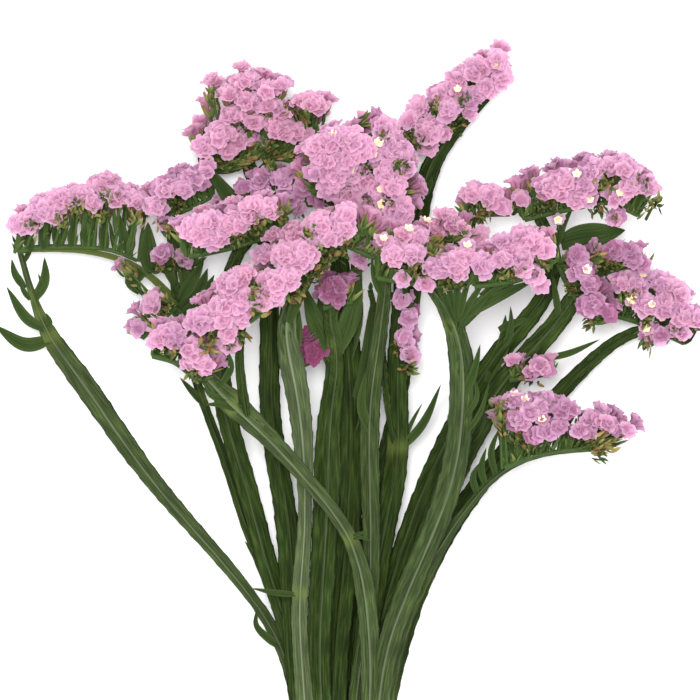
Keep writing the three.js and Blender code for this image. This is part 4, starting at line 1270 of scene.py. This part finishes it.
def tie_section():
    """One turn of the tie in the bundle's section, a rectangle with round corners, as (x, z) places."""
    left = COLUMN_X[0] - WIDEST_STEM / 2 - TIE_SLACK + TIE_CORNER
    right = COLUMN_X[-1] + WIDEST_STEM / 2 + TIE_SLACK - TIE_CORNER
    bottom = TIE_THICKNESS + TIE_CORNER
    top = LOWEST_ROW_Z + HIGHEST_ROW * ROW_PITCH + STEM_DEPTH / 2 + TIE_SLACK - TIE_CORNER
    radius = TIE_CORNER + TIE_THICKNESS / 2
    places = []
    for k, (x, z) in enumerate([(right, top), (left, top), (left, bottom), (right, bottom)]):
        for angle in np.linspace(0, math.pi / 2, 6) + k * math.pi / 2:
            places.append((x + radius * math.cos(angle), z + radius * math.sin(angle)))
    return places


def make_tie():
    """Makes turns of two-ply twine wound side by side round the bundle, as one closed piece."""
    section = tie_section()
    path = []
    for turn in range(TIE_TURNS):
        for k, (x, z) in enumerate(section):
            y = TIE_Y + (turn + k / len(section) - TIE_TURNS / 2) * (TIE_WIDTH - TIE_MARGIN) / TIE_TURNS
            path.append((x, y, z))
    points = smooth_route(path, TWINE_STEPS)
    _, side, above = frames_along(points, TOWARDS_CUT_ENDS)
    turn = full_turn(TWINE_SIDES)[None]
    lay = np.linspace(0, route_length(points) / TWINE_LAY * 2 * math.pi, len(points))[:, None]
    radius = TIE_THICKNESS / 2 * (0.86 + 0.22 * np.abs(np.cos(turn + lay)))
    surface = offset(points, (radius * np.cos(turn), side), (radius * np.sin(turn), above))
    shape = Shape()
    shape.add_grid(surface[None], np.zeros((1, *surface.shape[:2], 1)), closed=True)
    attach(shape.to_object("twine_tie", twine_material(), ("plain",)), "tie_band")


def make_floor():
    """Makes the surface that the bunch lies on."""
    bpy.ops.mesh.primitive_plane_add(size=FLOOR_SIZE, location=(0, 0, 0))
    floor = bpy.context.object
    floor.name = "floor"
    floor.data.materials.append(floor_material())


def make_lights():
    """Makes an even white sky with a soft key light and a weaker fill light."""
    world = bpy.data.worlds.new("studio")
    world.use_nodes = True
    sky = world.node_tree.nodes["Background"]
    sky.inputs["Color"].default_value = (1.0, 1.0, 1.0, 1.0)
    sky.inputs["Strength"].default_value = SKY_STRENGTH
    bpy.context.scene.world = world
    for name, entry in LIGHTS.items():
        light = bpy.data.lights.new(name, "AREA")
        light.shape = "DISK"
        light.size = entry["size"]
        light.energy = entry["power"]
        lamp = add_to_scene(name, light)
        lamp.location = entry["place"]
        direction = np.array(LIGHT_AIM) - np.array(entry["place"])
        lamp.rotation_euler = Vector(direction).to_track_quat("-Z", "Y").to_euler()


def make_camera():
    """Makes the camera, which looks straight down from far away."""
    camera = bpy.data.cameras.new("camera")
    camera.sensor_width = SENSOR_MM
    camera.lens = SENSOR_MM * CAMERA_DISTANCE / FRAME_WIDTH
    camera.clip_end = CAMERA_REACH
    holder = add_to_scene("camera", camera)
    x, y, z = CAMERA_TARGET
    holder.location = (x, y, z + CAMERA_DISTANCE)
    bpy.context.scene.camera = holder


greens = {
    "stem": green_material("stem_green", dark=srgb(22, 34, 10), middle=srgb(40, 57, 20),
                           light=srgb(73, 90, 45), pale=srgb(130, 140, 114)),
    "leaf": green_material("leaf_green", dark=srgb(28, 42, 17), middle=srgb(48, 67, 30),
                           light=srgb(78, 97, 52), pale=srgb(92, 107, 70)),
}
make_stems(greens)
make_leaves(greens["leaf"])
make_flowers()
make_tie()
make_floor()
make_lights()
make_camera()
bpy.context.scene.view_settings.view_transform = "Standard"
